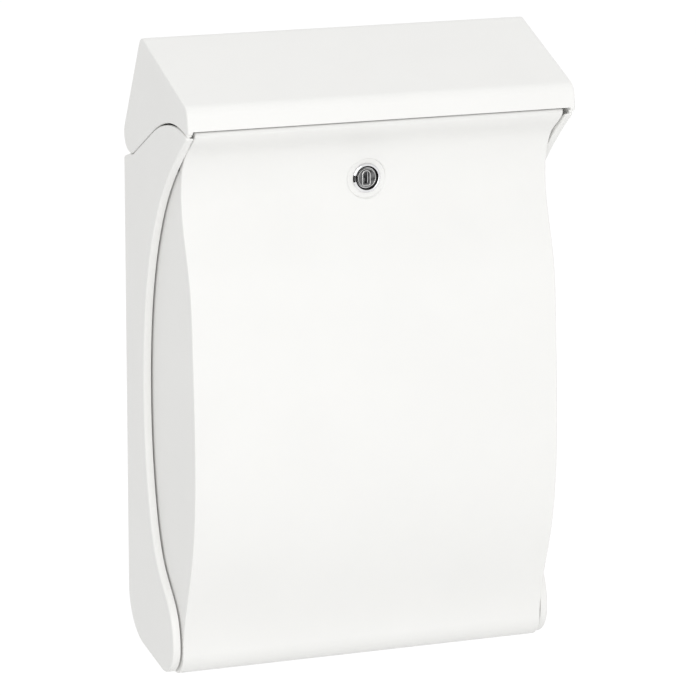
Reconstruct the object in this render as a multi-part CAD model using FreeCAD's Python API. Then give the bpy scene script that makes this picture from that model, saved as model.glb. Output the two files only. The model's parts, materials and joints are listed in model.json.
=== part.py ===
"""Wall mounted post box of moulded plastic.

A rear housing with two cheeks, a bulging front door hinged at the bottom, a sloping
lid hinged at the back and a cam lock at the top of the door. Each piece is written
as its own STEP file. Lengths are in millimetres and angles in degrees. X runs across
the box, the front looks along -Y, the back lies on Y = 0, and Z is up. Heights are
worked out from the foot of the box, and the finished pieces are then moved so that
the origin lies at the centre of the four wall screw holes.
"""

import FreeCAD, Part
import math
import os
from FreeCAD import Vector

# Main sizes
WIDTH = 265.0
TOP_LINE = 361.0
WALL = 3.0
ARC_FIT = 0.2

# Cheeks and rim of the housing
RIM_WIDTH = 5.2
RIM_DEEP = 6.0
RIM_TOP_DEPTH = 119.0
RIM_TOP_DROP = 3.0
RIM_SHOULDER = (-70.7, 48.7)
RIM_FLANK = (-46.4, 96.0)
RIM_WAIST = (-34.1, 182.0)
RIM_CALF = (-42.8, 104.0)
RIM_FOOT = (-60.0, 65.0)
RIM_HEEL = (-80.5, 42.3)
RIM_START_WAY = (1.0, -0.8)
FRONT_ROUND = 19.5
FRONT_ROUND_DEPTH = 67.0
BACK_ROUND = 35.0
FLOOR_SLOPE = 11.6
FLOOR_HOLE_RADIUS = 3.0
FLOOR_HOLE_SPACING = 150.0

# Arched top edge of the cheeks
ARCH_START_DEPTH = 56.0
ARCH_PEAK_BACK = 23.0
ARCH_PEAK_RISE = 0.7
ARCH_PEAK_OPEN = 1.3
ARCH_END_WAY = (-1.0, -0.3)
SEAM = 0.7
SEAM_BACK_ANGLE = -80.0
NOTCH_SLOPE = 2.25

# Wall screw holes
WALL_HOLES_ACROSS = 180.0
WALL_HOLES_UP = 220.0
WALL_HOLES_CENTRE = 180.0
WALL_HOLE_RADIUS = 2.75
WALL_PAD_RADIUS = 8.0
WALL_PAD_THICK = 2.0

# Lid
LID_PIVOT_DEPTH = 12.0
LID_PIVOT_DROP = 17.0
LID_BARREL = 12.0
LID_BARREL_END = -60.0
LID_LEAN = 27.6
ROOF_SLOPE = 22.6
FOLD_BACK = 1.8
FOLD_RISE = 15.2
FOLD_ROUND = 9.0
RIDGE_ROUND = 7.0
LIP_OUT = 2.5
LIP_RISE = 1.2
TIP_DROP = 1.0
CHEEK_WALL = 3.4
LID_RIB_OUT = 62.0
LID_RIB_THICK = 2.4
LID_RIB_GAP = 0.3

# Lid hinge
LID_PIN_RADIUS = 2.0
EAR_THICK = 4.0
EAR_GAP = 0.3
EAR_RADIUS = 8.0
EAR_STEM_WIDE = 11.0
EAR_STEM_GAP = 1.0
EAR_FOOT_HIGH = 17.0
LUG_THICK = 5.7
LUG_RADIUS = 10.0
PIN_BLIND = 2.0
PIN_END_GAP = 0.2
RUNNING = 0.05

# Door
DOOR_GAP = 1.2
DOOR_RIM_BACK = 2.5
DOOR_RIM_HIGH = 3.2
FLARE = (-99.8, 17.0)
NECK_DEPTH = 90.6
LOCK_DROP = 41.0
SHOULDER = (-104.8, 100.0)
CHEST = (-109.2, 224.0)
BELLY = (-112.6, 157.0)
FOOT = (-103.8, 74.0)
FACE_START_WAY = (0.6, -0.8)
DOOR_BARREL = 15.0
DOOR_PIVOT = (-73.0, 15.0)
DOOR_BARREL_END = 300.0
DOOR_BARREL_BACK = 420.0
DOOR_TUCK = 9.0
DOOR_SIDE_TOP = (-87.5, 28.0)
DOOR_FLANGE = 16.5
DOOR_FLANGE_DROP = 8.25
DOOR_EDGE_CHAMFER = 1.0
DOOR_PIN_RADIUS = 2.5
DOOR_BOSS_RADIUS = 6.5
DOOR_BOSS_LONG = 10.0
BARREL_GAP = 1.0
DOOR_RIB_OUT = 62.0
DOOR_RIB_THICK = 2.0
DOOR_RIB_DEEP = 6.0

# Strike rail
RAIL_THICK = 3.0
RAIL_DROP = 7.0
RAIL_BACK_DEPTH = 71.0
RAIL_END_DEPTH = 86.0
RAIL_FRONT_DEPTH = 97.0
RAIL_END_GAP = 0.3
RAIL_NARROW = 5.0
RAIL_LEG_DEEP = 18.0
RAIL_LEG_SHORT = 3.0
RAIL_LIP_HIGH = 2.5
LEDGE_LONG = 16.0
LEDGE_HIGH = 14.0
LEDGE_INSET = 1.0
RAIL_SCREW_RADIUS = 1.5
RAIL_SCREW_LONG = 11.0
RAIL_SCREW_HEAD = 3.0
RAIL_SCREW_HEAD_HIGH = 2.0
SCREW_CHAMFER = 0.7

# Cam lock
RECESS_RADIUS = 13.4
RECESS_DEEP = 0.7
SEAT_RADIUS = 14.5
SEAT_THICK = 3.5
COLLAR_RADIUS = 9.5
COLLAR_HIGH = 2.0
COLLAR_CHAMFER = 0.5
COLLAR_CUP_RADIUS = 7.8
COLLAR_CUP_DEEP = 1.3
NOTCH_WIDE = 1.8
NOTCH_HIGH = 4.4
NOTCH_DEEP = 1.0
BARREL_RADIUS = 8.0
BARREL_FLAT = 14.0
BARREL_LONG = 19.0
BARREL_HOLE_GAP = 0.1
PLUG_RADIUS = 6.4
PLUG_PROUD = 0.9
PLUG_CHAMFER = 0.4
PLUG_END_GAP = 0.2
KEYWAY_WIDE = 2.4
KEYWAY_HIGH = 7.0
KEYWAY_DEEP = 17.0
WARD_WIDE = 0.9
WARD_HIGH = 2.0
SHUTTER_THICK = 0.5
SHUTTER_LONG = 7.0
SHUTTER_GAP = 0.1
SHUTTER_SET_BACK = 1.0
WAFER_COUNT = 4
WAFER_THICK = 1.0
WAFER_WIDE = 6.2
WAFER_HIGH = 10.8
WAFER_WINDOW_WIDE = 2.8
WAFER_WINDOW_HIGH = 7.6
WAFER_PITCH = 2.6
WAFER_FIRST = 6.5
WAFER_GAP = 0.1
SPRING_RADIUS = 0.75
SPRING_WIRE = 0.22
SPRING_TURNS = 2
SPRING_PITCH = 1.4
SPRING_OUT = 4.4
KEEPER_WIDE = 4.0
KEEPER_THICK = 1.0
KEEPER_RISE = 0.6
KEEPER_SET_BACK = 3.2
NUT_FLATS = 22.0
NUT_HIGH = 5.0
NUT_CHAMFER = 1.2
TOOTH_WASHER_RADIUS = 11.6
TOOTH_WASHER_THICK = 0.8
TOOTH_COUNT = 12
TOOTH_WIDE = 1.6
TOOTH_DEEP = 1.2
SQUARE = 6.0
SQUARE_GAP = 0.1
STOP_THICK = 1.0
STOP_HUB_RADIUS = 5.4
STOP_TAB_SPAN = 80.0
STOP_TAB_GAP = 0.3
STOP_SPARE = 2.0
LOCK_TURN = 90.0
CAM_THICK = 2.0
CAM_REACH = 30.0
CAM_WIDE = 14.0
CAM_WASHER_RADIUS = 5.0
CAM_WASHER_THICK = 1.0
CAM_SCREW_RADIUS = 2.0
CAM_SCREW_LONG = 8.0
CAM_SCREW_HEAD = 4.2
CAM_SCREW_HEAD_HIGH = 2.4
SLOT_WIDE = 1.0
SLOT_DEEP = 1.0

# Worked out from the sizes above
HALF = WIDTH / 2.0
BIG = 3.0 * WIDTH
LIP_DEPTH = RIM_TOP_DEPTH + LIP_OUT
DOOR_RIM_DEPTH = RIM_TOP_DEPTH - DOOR_RIM_BACK
SIDE_INNER = HALF - WALL
RIM_INNER = HALF - RIM_WIDTH
DOOR_HALF = RIM_INNER - DOOR_GAP
CHEEK_INNER = HALF - CHEEK_WALL
RAIL_TOP = TOP_LINE - RAIL_DROP
RAIL_UNDER = RAIL_TOP - RAIL_THICK
LOCK_HEIGHT = TOP_LINE - LOCK_DROP
SEAT_Y = RECESS_DEEP - NECK_DEPTH
SEAT_REAR_Y = SEAT_Y + SEAT_THICK
BARREL_END_Y = SEAT_Y + BARREL_LONG
PLUG_END_Y = BARREL_END_Y - PLUG_END_GAP / 2.0
STOP_Y = BARREL_END_Y + PLUG_END_GAP
CAM_Y = STOP_Y + STOP_THICK
CAM_WASHER_Y = CAM_Y + CAM_THICK
CAM_HEAD_Y = CAM_WASHER_Y + CAM_WASHER_THICK
LID_PIVOT = (-LID_PIVOT_DEPTH, TOP_LINE - LID_PIVOT_DROP)


def drop(place):
    """A point whose height is given as a drop below the top line."""
    return (place[0], TOP_LINE - place[1])


def around(centre, radius, angle):
    """The point of a circle at an angle, from +Y towards +Z."""
    turn = math.radians(angle)
    return (centre[0] + radius * math.cos(turn), centre[1] + radius * math.sin(turn))


def at(place):
    """A point of the side view as a vector."""
    return Vector(0.0, place[0], place[1])


def line(start, end):
    """A straight edge in the side view."""
    return Part.LineSegment(at(start), at(end)).toShape()


def arc(centre, radius, first, last):
    """A round edge in the side view, between two angles."""
    middle = (first + last) / 2.0
    ends = [at(around(centre, radius, angle)) for angle in (first, middle, last)]
    return Part.Arc(ends[0], ends[1], ends[2]).toShape()


def curve(places, start, end):
    """A smooth run of arcs near points, with its directions at both ends."""
    points = [at(place) for place in places]
    lengths = [0.0]
    for before, after in zip(points, points[1:]):
        lengths.append(lengths[-1] + (after - before).Length)
    spline = Part.BSplineCurve()
    spline.interpolate(
        Points=points,
        Parameters=lengths,
        InitialTangent=at(start).normalize(),
        FinalTangent=at(end).normalize(),
        Scale=False,
    )
    return [piece.toShape() for piece in spline.toBiArcs(ARC_FIT)]


def three_points(edge):
    """Start, middle and end of an edge's run, as parameters."""
    first, last = edge.ParameterRange
    return first, (first + last) / 2.0, last


def beside(edges, distance):
    """The arcs that run beside others at a distance, to the left of their run."""
    moved = []
    for edge in edges:
        points = []
        for where in three_points(edge):
            along = edge.tangentAt(where)
            points.append(edge.valueAt(where) + Vector(0.0, -along.z, along.y) * distance)
        moved.append(Part.Arc(points[0], points[1], points[2]).toShape())
    return moved


def backwards(edges):
    """The same arcs run the other way."""
    turned = []
    for edge in reversed(edges):
        points = [edge.valueAt(where) for where in three_points(edge)]
        turned.append(Part.Arc(points[2], points[1], points[0]).toShape())
    return turned


def shifted(edges, depth):
    """The same arcs moved along Y."""
    moved = []
    for edge in edges:
        copied = edge.copy()
        copied.translate(Vector(0.0, depth, 0.0))
        moved.append(copied)
    return moved


def where_at(edge, height):
    """The place on a downward edge at a height, found by halving."""
    first, last = edge.ParameterRange
    for _ in range(50):
        middle = (first + last) / 2.0
        if edge.valueAt(middle).z > height:
            first = middle
        else:
            last = middle
    return (first + last) / 2.0


def trimmed(edges, high, low):
    """The part of a downward run of arcs between two heights."""
    kept = []
    for edge in edges:
        first, last = edge.ParameterRange
        top = edge.valueAt(first).z
        bottom = edge.valueAt(last).z
        if top <= low or bottom >= high:
            continue
        if top > high:
            first = where_at(edge, high)
        if bottom < low:
            last = where_at(edge, low)
        kept.append(edge.Curve.toShape(first, last))
    return kept


def end_of(edge):
    """The last point of an edge, in the side view."""
    point = edge.valueAt(edge.LastParameter)
    return (point.y, point.z)


def start_of(edge):
    """The first point of an edge, in the side view."""
    point = edge.valueAt(edge.FirstParameter)
    return (point.y, point.z)


def chain(edges):
    """Joins edges in order, with straight lines across any gap, into a closed wire."""
    joined = []
    for index, edge in enumerate(edges):
        joined.append(edge)
        here = end_of(edge)
        there = start_of(edges[(index + 1) % len(edges)])
        if math.dist(here, there) > 1e-6:
            joined.append(line(here, there))
    return Part.Wire(joined)


def slab(wire, low, high):
    """A side view outline carried across the box from one X to another."""
    outline = wire.copy()
    outline.translate(Vector(low, 0.0, 0.0))
    return Part.Face(outline).extrude(Vector(high - low, 0.0, 0.0))


def polygon(places):
    """A closed side view outline of straight lines."""
    points = [at(place) for place in places]
    return Part.makePolygon(points + [points[0]])


def disc(centre, radius, low, high):
    """A round bar across the box."""
    return Part.makeCylinder(
        radius, high - low, Vector(low, centre[0], centre[1]), Vector(1.0, 0.0, 0.0)
    )


def block(low, high):
    """A box between two corners."""
    size = [top - bottom for top, bottom in zip(high, low)]
    return Part.makeBox(size[0], size[1], size[2], Vector(*low))


def mirrored(shape):
    """The same piece on the other side of the box."""
    return shape.mirror(Vector(0.0, 0.0, 0.0), Vector(1.0, 0.0, 0.0))


def both(shape):
    """A piece and its mirror image."""
    return [shape, mirrored(shape)]


def lock_bar(radius, front, rear):
    """A round bar on the lock's axis."""
    return Part.makeCylinder(
        radius, rear - front, Vector(0.0, front, LOCK_HEIGHT), Vector(0.0, 1.0, 0.0)
    )


def lock_block(half_wide, half_high, front, rear):
    """A square bar on the lock's axis."""
    low = (-half_wide, front, LOCK_HEIGHT - half_high)
    high = (half_wide, rear, LOCK_HEIGHT + half_high)
    return block(low, high)


def lock_sector(inner, outer, front, rear, first, span):
    """Part of a ring on the lock's axis, its angle measured from +X towards +Z."""
    start = math.radians(first)
    middle = math.radians(first + span / 2.0)
    stop = math.radians(first + span)

    def spot(radius, angle):
        return Vector(radius * math.cos(angle), front, LOCK_HEIGHT + radius * math.sin(angle))

    edges = [
        Part.Arc(spot(outer, start), spot(outer, middle), spot(outer, stop)).toShape(),
        Part.LineSegment(spot(outer, stop), spot(inner, stop)).toShape(),
        Part.Arc(spot(inner, stop), spot(inner, middle), spot(inner, start)).toShape(),
        Part.LineSegment(spot(inner, start), spot(outer, start)).toShape(),
    ]
    return Part.Face(Part.Wire(edges)).extrude(Vector(0.0, rear - front, 0.0))


def rim_edge():
    """Front edge of a cheek, from its top corner down to the round at the foot."""
    places = [
        (-RIM_TOP_DEPTH, TOP_LINE - RIM_TOP_DROP),
        drop(RIM_SHOULDER),
        drop(RIM_FLANK),
        RIM_WAIST,
        RIM_CALF,
        RIM_FOOT,
        RIM_HEEL,
        (-FRONT_ROUND_DEPTH - FRONT_ROUND, FRONT_ROUND),
    ]
    return curve(places, RIM_START_WAY, (0.0, -1.0))


def underside(inset, front_inset):
    """The box's underside, from the front round to the back, set in by a wall."""
    round_centre = (-FRONT_ROUND_DEPTH, FRONT_ROUND)
    slope = math.radians(FLOOR_SLOPE)
    reach = FRONT_ROUND_DEPTH - BACK_ROUND
    rise = (reach * math.sin(slope) + BACK_ROUND - FRONT_ROUND) / math.cos(slope)
    back_centre = (-BACK_ROUND, FRONT_ROUND + rise)
    lowest = FLOOR_SLOPE - 90.0
    front = arc(round_centre, FRONT_ROUND - front_inset, -180.0, lowest)
    back = arc(back_centre, BACK_ROUND - inset, lowest, 0.0)
    floor = line(around(round_centre, FRONT_ROUND - inset, lowest), start_of(back))
    return [front, floor, back]


def arch_edge(lift, peak_lift):
    """Arched part of the seam between cheek and lid, from the hinge side forwards."""
    slope = math.radians(LID_LEAN)
    leave = around(LID_PIVOT, LID_BARREL + SEAM, -90.0 - LID_LEAN)
    run = ARCH_START_DEPTH + leave[0]
    start = (-ARCH_START_DEPTH, leave[1] + run * math.tan(slope) + lift)
    peak = (ARCH_PEAK_BACK - RIM_TOP_DEPTH, TOP_LINE + ARCH_PEAK_RISE + peak_lift)
    corner = (-RIM_TOP_DEPTH, TOP_LINE - RIM_TOP_DROP + lift)
    return curve([start, peak, corner], (-math.cos(slope), math.sin(slope)), ARCH_END_WAY)


def barrel_seam():
    """Round part of the seam, under the lid's hinge."""
    return arc(LID_PIVOT, LID_BARREL + SEAM, SEAM_BACK_ANGLE, -90.0 - LID_LEAN)


def back_top():
    """Top of the housing's back wall: it meets the lid's round in a notch."""
    notch = start_of(barrel_seam())
    return (0.0, notch[1] - SEAM - NOTCH_SLOPE)


def make_housing():
    """Back wall, floor and cheeks, with ears, ledges, pin bosses and screw holes."""
    rim = rim_edge()
    outside = underside(0.0, 0.0)
    back = line(end_of(outside[2]), back_top())
    outline = chain(rim + outside + [back, barrel_seam()] + arch_edge(0.0, 0.0))
    body = slab(outline, -HALF, HALF)

    inside = underside(WALL, RIM_DEEP)
    set_back = shifted(rim, RIM_DEEP)
    sky = TOP_LINE + WALL
    top_front = (start_of(set_back[0])[0], sky)
    front = line(top_front, start_of(set_back[0]))
    hollow = chain([front] + set_back + inside + [line((-WALL, sky), top_front)])
    body = body.cut(slab(hollow, -SIDE_INNER, SIDE_INNER))

    floor_front = floor_front_depth()
    floor_inner = underside(WALL, WALL)[1:]
    mouth = chain(
        [
            line((-BIG, -WALL), (floor_front, -WALL)),
            line((floor_front, -WALL), floor_point(floor_front)),
            line(floor_point(floor_front), end_of(floor_inner[0])),
            floor_inner[1],
            line((-WALL, sky), (-BIG, sky)),
        ]
    )
    body = body.cut(slab(mouth, -RIM_INNER, RIM_INNER))

    extras = [make_trough()]
    extras += both(disc(DOOR_PIVOT, DOOR_BOSS_RADIUS + WALL / 2.0, RIM_INNER, SIDE_INNER + WALL / 2.0))
    extras += both(make_ear())
    extras += both(make_ledge())
    for x in (-WALL_HOLES_ACROSS / 2.0, WALL_HOLES_ACROSS / 2.0):
        for z in wall_hole_heights():
            pad = Part.makeCylinder(
                WALL_PAD_RADIUS, WALL + WALL_PAD_THICK, Vector(x, 0.0, z), Vector(0.0, -1.0, 0.0)
            )
            extras.append(pad)
    body = body.fuse(extras).removeSplitter()

    cuts = []
    reach = HALF - PIN_BLIND
    cuts += both(disc(DOOR_PIVOT, DOOR_PIN_RADIUS, RIM_INNER - WALL, reach + PIN_END_GAP))
    cuts += both(disc(LID_PIVOT, LID_PIN_RADIUS, ear_inner() - WALL, CHEEK_INNER))
    for x in (-WALL_HOLES_ACROSS / 2.0, WALL_HOLES_ACROSS / 2.0):
        for z in wall_hole_heights():
            hole = Part.makeCylinder(
                WALL_HOLE_RADIUS, 4.0 * WALL, Vector(x, WALL, z), Vector(0.0, -1.0, 0.0)
            )
            cuts.append(hole)
    cuts += both(screw_hole())
    for x in (-FLOOR_HOLE_SPACING / 2.0, FLOOR_HOLE_SPACING / 2.0):
        drain = Part.makeCylinder(FLOOR_HOLE_RADIUS, 6.0 * WALL, Vector(x, drain_depth(), -WALL))
        cuts.append(drain)
    return body.cut(cuts)


def make_trough():
    """Curved top of the back wall, which runs under the lid's barrel across the box."""
    seam = barrel_seam()
    top = back_top()
    under = arc(LID_PIVOT, LID_BARREL + SEAM + WALL, -90.0 - LID_LEAN, SEAM_BACK_ANGLE)
    outline = chain([seam, under, line((0.0, top[1] - WALL), top)])
    return slab(outline, -SIDE_INNER - WALL / 2.0, SIDE_INNER + WALL / 2.0)


def wall_hole_heights():
    """Heights of the two rows of wall screw holes."""
    return (
        WALL_HOLES_CENTRE - WALL_HOLES_UP / 2.0,
        WALL_HOLES_CENTRE + WALL_HOLES_UP / 2.0,
    )


def floor_point(depth):
    """A point on the floor's upper face."""
    floor = underside(WALL, WALL)[1]
    start = start_of(floor)
    slope = math.tan(math.radians(FLOOR_SLOPE))
    return (depth, start[1] + (depth - start[0]) * slope)


def floor_front_depth():
    """Where the floor ends, just clear of the door's barrel."""
    reach = DOOR_BARREL + BARREL_GAP
    rise = DOOR_PIVOT[1] - WALL
    return DOOR_PIVOT[0] + math.sqrt(reach * reach - rise * rise) + BARREL_GAP / 2.0


def drain_depth():
    """Depth of the drain holes, in the middle of the floor's slope."""
    return (floor_front_depth() - BACK_ROUND) / 2.0


def ear_inner():
    """Inner face of the ear that carries the lid's pin."""
    return CHEEK_INNER - EAR_GAP - EAR_THICK


def make_ear():
    """Upright ear on a cheek's inside, round its pin, on a stem that clears the lid's barrel."""
    low = ear_inner()
    high = CHEEK_INNER - EAR_GAP
    back = LID_PIVOT[0] - EAR_STEM_GAP
    front = back - EAR_STEM_WIDE
    seam = end_of(barrel_seam())[1]
    foot = seam - SEAM - EAR_FOOT_HIGH
    stem = block((low, front, foot), (high, back, LID_PIVOT[1]))
    base = block((low, front, foot), (SIDE_INNER + WALL / 2.0, back, seam - 2.0 * SEAM))
    head = disc(LID_PIVOT, EAR_RADIUS, low, high)
    return stem.fuse([base, head])


def ledge_middle():
    """Depth of the ledge's middle, where its screw goes."""
    return -(RAIL_BACK_DEPTH + RAIL_END_DEPTH) / 2.0


def make_ledge():
    """Bracket on a cheek's inside that carries one end of the strike rail."""
    low = (SIDE_INNER - LEDGE_LONG, LEDGE_INSET - RAIL_END_DEPTH, RAIL_UNDER - LEDGE_HIGH)
    high = (SIDE_INNER + WALL / 2.0, -LEDGE_INSET - RAIL_BACK_DEPTH, RAIL_UNDER)
    return block(low, high)


def screw_place():
    """Distance of a rail screw from the middle of the box."""
    return SIDE_INNER - LEDGE_LONG / 2.0


def screw_hole():
    """Pilot hole for a rail screw in its ledge."""
    start = Vector(screw_place(), ledge_middle(), RAIL_UNDER + WALL)
    return Part.makeCylinder(RAIL_SCREW_RADIUS, RAIL_SCREW_LONG + WALL, start, Vector(0.0, 0.0, -1.0))


def lid_corners(inset):
    """Corners of the lid's skin: lip foot, fold, ridge and start of the back's lean."""
    lip = (-LIP_DEPTH, TOP_LINE + LIP_RISE)
    fold = (FOLD_BACK - LIP_DEPTH, TOP_LINE + FOLD_RISE)
    roof = math.radians(ROOF_SLOPE)
    lean = math.radians(LID_LEAN)
    roof_way = (math.cos(roof), math.sin(roof))
    lean_way = (math.sin(lean), -math.cos(lean))
    lip_way = (fold[0] - lip[0], fold[1] - lip[1])
    lip_long = math.hypot(lip_way[0], lip_way[1])
    lip_way = (lip_way[0] / lip_long, lip_way[1] / lip_long)
    lip_foot = (lip[0] + lip_way[1] * inset, lip[1])
    roof_start = (fold[0] + roof_way[1] * inset, fold[1] - roof_way[0] * inset)
    back_start = around(LID_PIVOT, LID_BARREL - inset, LID_LEAN)
    inner_fold = crossing(lip_foot, lip_way, roof_start, roof_way)
    ridge = crossing(roof_start, roof_way, back_start, lean_way)
    return lip_foot, inner_fold, ridge, back_start


def crossing(first, first_way, second, second_way):
    """Where two lines cross, each given by a point and a direction."""
    turn = first_way[0] * second_way[1] - first_way[1] * second_way[0]
    gap = (second[0] - first[0], second[1] - first[1])
    step = (gap[0] * second_way[1] - gap[1] * second_way[0]) / turn
    return (first[0] + first_way[0] * step, first[1] + first_way[1] * step)


def rounded(before, corner, after, radius):
    """A straight run to a rounded corner: the run's end, the round and its far end."""
    into = Vector(0.0, before[0] - corner[0], before[1] - corner[1]).normalize()
    out = Vector(0.0, after[0] - corner[0], after[1] - corner[1]).normalize()
    half = into.getAngle(out) / 2.0
    reach = radius / math.tan(half)
    start = at(corner) + into * reach
    stop = at(corner) + out * reach
    centre = at(corner) + (into + out).normalize() * (radius / math.sin(half))
    middle = centre + (at(corner) - centre).normalize() * radius
    return Part.Arc(start, middle, stop).toShape()


def lid_skin(inset):
    """Outside of the lid in the side view, from lip foot over fold and ridge to the barrel."""
    lip, fold, ridge, back = lid_corners(inset)
    fold_round = rounded(lip, fold, ridge, FOLD_ROUND - inset)
    ridge_round = rounded(fold, ridge, back, RIDGE_ROUND - inset)
    barrel = arc(LID_PIVOT, LID_BARREL - inset, LID_LEAN, LID_BARREL_END)
    return [line(lip, start_of(fold_round)), fold_round, ridge_round, barrel]


def make_lid():
    """Roof, lip and leaning back between two end cheeks, with lugs and two ribs."""
    tip_round = CHEEK_WALL / 2.0
    arch = arch_edge(SEAM, ARCH_PEAK_OPEN)
    tip = (-LIP_DEPTH + tip_round, TOP_LINE - TIP_DROP + tip_round)
    under = arc(LID_PIVOT, LID_BARREL, LID_BARREL_END, -90.0 - LID_LEAN)
    front_edge = arc(tip, tip_round, -60.0, -180.0)
    outline = chain(lid_skin(0.0) + [under] + arch + [front_edge])
    body = slab(outline, -HALF, HALF)

    inner = lid_skin(WALL)
    lip = start_of(inner[0])
    below = LID_PIVOT[1] - 3.0 * LID_BARREL
    past = around(LID_PIVOT, 1.5 * LID_BARREL, LID_BARREL_END)
    hollow = chain(
        inner
        + [
            line(end_of(inner[3]), past),
            line((past[0], below), (-BIG, below)),
            line((-BIG, lip[1]), lip),
        ]
    )
    body = body.cut(slab(hollow, -CHEEK_INNER, CHEEK_INNER))

    extras = []
    extras += both(make_lug())
    extras += both(make_lid_rib())
    body = body.fuse(extras).removeSplitter()
    bore = disc(LID_PIVOT, LID_PIN_RADIUS + RUNNING, lug_inner() - WALL, HALF - PIN_BLIND + PIN_END_GAP)
    return body.cut(both(bore))


def lug_inner():
    """Inner face of the lid's hinge lug."""
    return ear_inner() - EAR_GAP - LUG_THICK


def make_lug():
    """Hinge lug of the lid, inside the ear, merged with the lid's barrel."""
    return disc(LID_PIVOT, LUG_RADIUS, lug_inner(), lug_inner() + LUG_THICK)


def make_lid_rib():
    """Rib under the roof whose foot rests on the strike rail."""
    roof_start = end_of(lid_skin(WALL / 2.0)[1])
    slope = math.tan(math.radians(ROOF_SLOPE))
    front = WALL + LID_RIB_GAP - RAIL_END_DEPTH
    back = -RAIL_BACK_DEPTH
    foot = RAIL_TOP + LID_RIB_GAP
    roof_back = (back, roof_start[1] + (back - roof_start[0]) * slope)
    roof_front = (front, roof_start[1] + (front - roof_start[0]) * slope)
    outline = polygon([(front, foot), (back, foot), roof_back, roof_front])
    return slab(outline, LID_RIB_OUT, LID_RIB_OUT + LID_RIB_THICK)


def make_lid_pin():
    """Steel pin through lug and ear into the lid's cheek."""
    return disc(LID_PIVOT, LID_PIN_RADIUS, lug_inner(), HALF - PIN_BLIND)


def door_face():
    """Outer face of the door in the side view: top rim, flare, neck, belly and barrel."""
    rim_foot = (-DOOR_RIM_DEPTH, TOP_LINE - DOOR_RIM_HIGH)
    places = [
        rim_foot,
        drop(FLARE),
        (-NECK_DEPTH, LOCK_HEIGHT),
        drop(SHOULDER),
        CHEST,
        BELLY,
        FOOT,
        around(DOOR_PIVOT, DOOR_BARREL, 180.0),
    ]
    return curve(places, FACE_START_WAY, (0.0, -1.0))


def door_side_rear():
    """Rear edge of the door's side wall, tucked in behind the housing's rim."""
    tuck = shifted(rim_edge(), DOOR_TUCK)
    return backwards(trimmed(tuck, drop(DOOR_SIDE_TOP)[1] - WALL, RIM_FOOT[1]))


def make_door():
    """Curved skin with side walls, top flange, hinge barrel, ribs and the lock's seat."""
    face = door_face()
    top = (-DOOR_RIM_DEPTH, TOP_LINE)
    flange = (DOOR_FLANGE - DOOR_RIM_DEPTH, TOP_LINE)
    under = TOP_LINE - WALL
    side_top = drop(DOOR_SIDE_TOP)
    outline = chain(
        face
        + [arc(DOOR_PIVOT, DOOR_BARREL, 180.0, DOOR_BARREL_BACK)]
        + door_side_rear()
        + [line(side_top, (side_top[0], TOP_LINE - DOOR_FLANGE_DROP)), line(flange, top)]
    )
    body = slab(outline, -DOOR_HALF, DOOR_HALF)
    body = chamfer_front_edges(body, face)

    inner = trimmed(beside(face, WALL), under, DOOR_PIVOT[1])
    past = around(DOOR_PIVOT, DOOR_BARREL + WALL, DOOR_BARREL_END)
    sky = TOP_LINE + WALL
    hollow = chain(
        inner
        + [
            arc(DOOR_PIVOT, DOOR_BARREL - WALL, 180.0, DOOR_BARREL_END),
            line(past, (0.0, past[1])),
            line((0.0, sky), (flange[0], sky)),
            line((flange[0], under), start_of(inner[0])),
        ]
    )
    width = DOOR_HALF - WALL
    body = body.cut(slab(hollow, -width, width))

    extras = []
    extras += both(disc(DOOR_PIVOT, DOOR_BOSS_RADIUS, DOOR_HALF - DOOR_BOSS_LONG, DOOR_HALF - WALL / 2.0))
    extras += both(make_door_rib(face))
    seat = lock_bar(SEAT_RADIUS, SEAT_Y - WALL, SEAT_REAR_Y)
    extras.append(seat.common(slab(behind_outline(face), -SEAT_RADIUS, SEAT_RADIUS)))
    body = body.fuse(extras).removeSplitter()

    cuts = [lock_bar(RECESS_RADIUS, -DOOR_RIM_DEPTH, SEAT_Y)]
    hole = lock_bar(BARREL_RADIUS + BARREL_HOLE_GAP, -DOOR_RIM_DEPTH, SEAT_REAR_Y + WALL)
    flats = lock_block(
        BARREL_FLAT / 2.0 + BARREL_HOLE_GAP, BARREL_RADIUS + WALL, -DOOR_RIM_DEPTH, SEAT_REAR_Y + WALL
    )
    cuts.append(hole.common(flats))
    cuts += both(disc(DOOR_PIVOT, DOOR_PIN_RADIUS + RUNNING, DOOR_HALF - 2.0 * DOOR_BOSS_LONG, HALF))
    return body.cut(cuts)


def behind_outline(face):
    """Everything behind the door's face, in the side view."""
    foot = end_of(face[-1])
    return chain(face + [line((0.0, foot[1]), (0.0, start_of(face[0])[1]))])


def chamfer_front_edges(body, face):
    """Takes the sharpness off the two long front edges of the door."""
    edges = []
    for edge in body.Edges:
        centre = edge.CenterOfMass
        if abs(abs(centre.x) - DOOR_HALF) > 0.01:
            continue
        for piece in face:
            middle = piece.CenterOfMass
            if math.hypot(centre.y - middle.y, centre.z - middle.z) < 0.01:
                edges.append(edge)
    return body.makeChamfer(DOOR_EDGE_CHAMFER, edges)


def make_door_rib(face):
    """Stiffening rib that follows the inside of the door's skin."""
    outer = beside(face, WALL / 2.0)
    deep = beside(face, WALL + DOOR_RIB_DEEP)
    bottom = DOOR_PIVOT[1] + DOOR_BARREL
    top = LOCK_HEIGHT - SEAT_RADIUS
    outline = chain(outer + backwards(deep))
    rib = slab(outline, DOOR_RIB_OUT, DOOR_RIB_OUT + DOOR_RIB_THICK)
    keep = block((0.0, -BIG, bottom), (BIG, 0.0, top))
    return rib.common(keep)


def make_door_pin():
    """Steel pin through the door's boss into the housing's cheek."""
    return disc(DOOR_PIVOT, DOOR_PIN_RADIUS, DOOR_HALF - DOOR_BOSS_LONG, HALF - PIN_BLIND)


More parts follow.
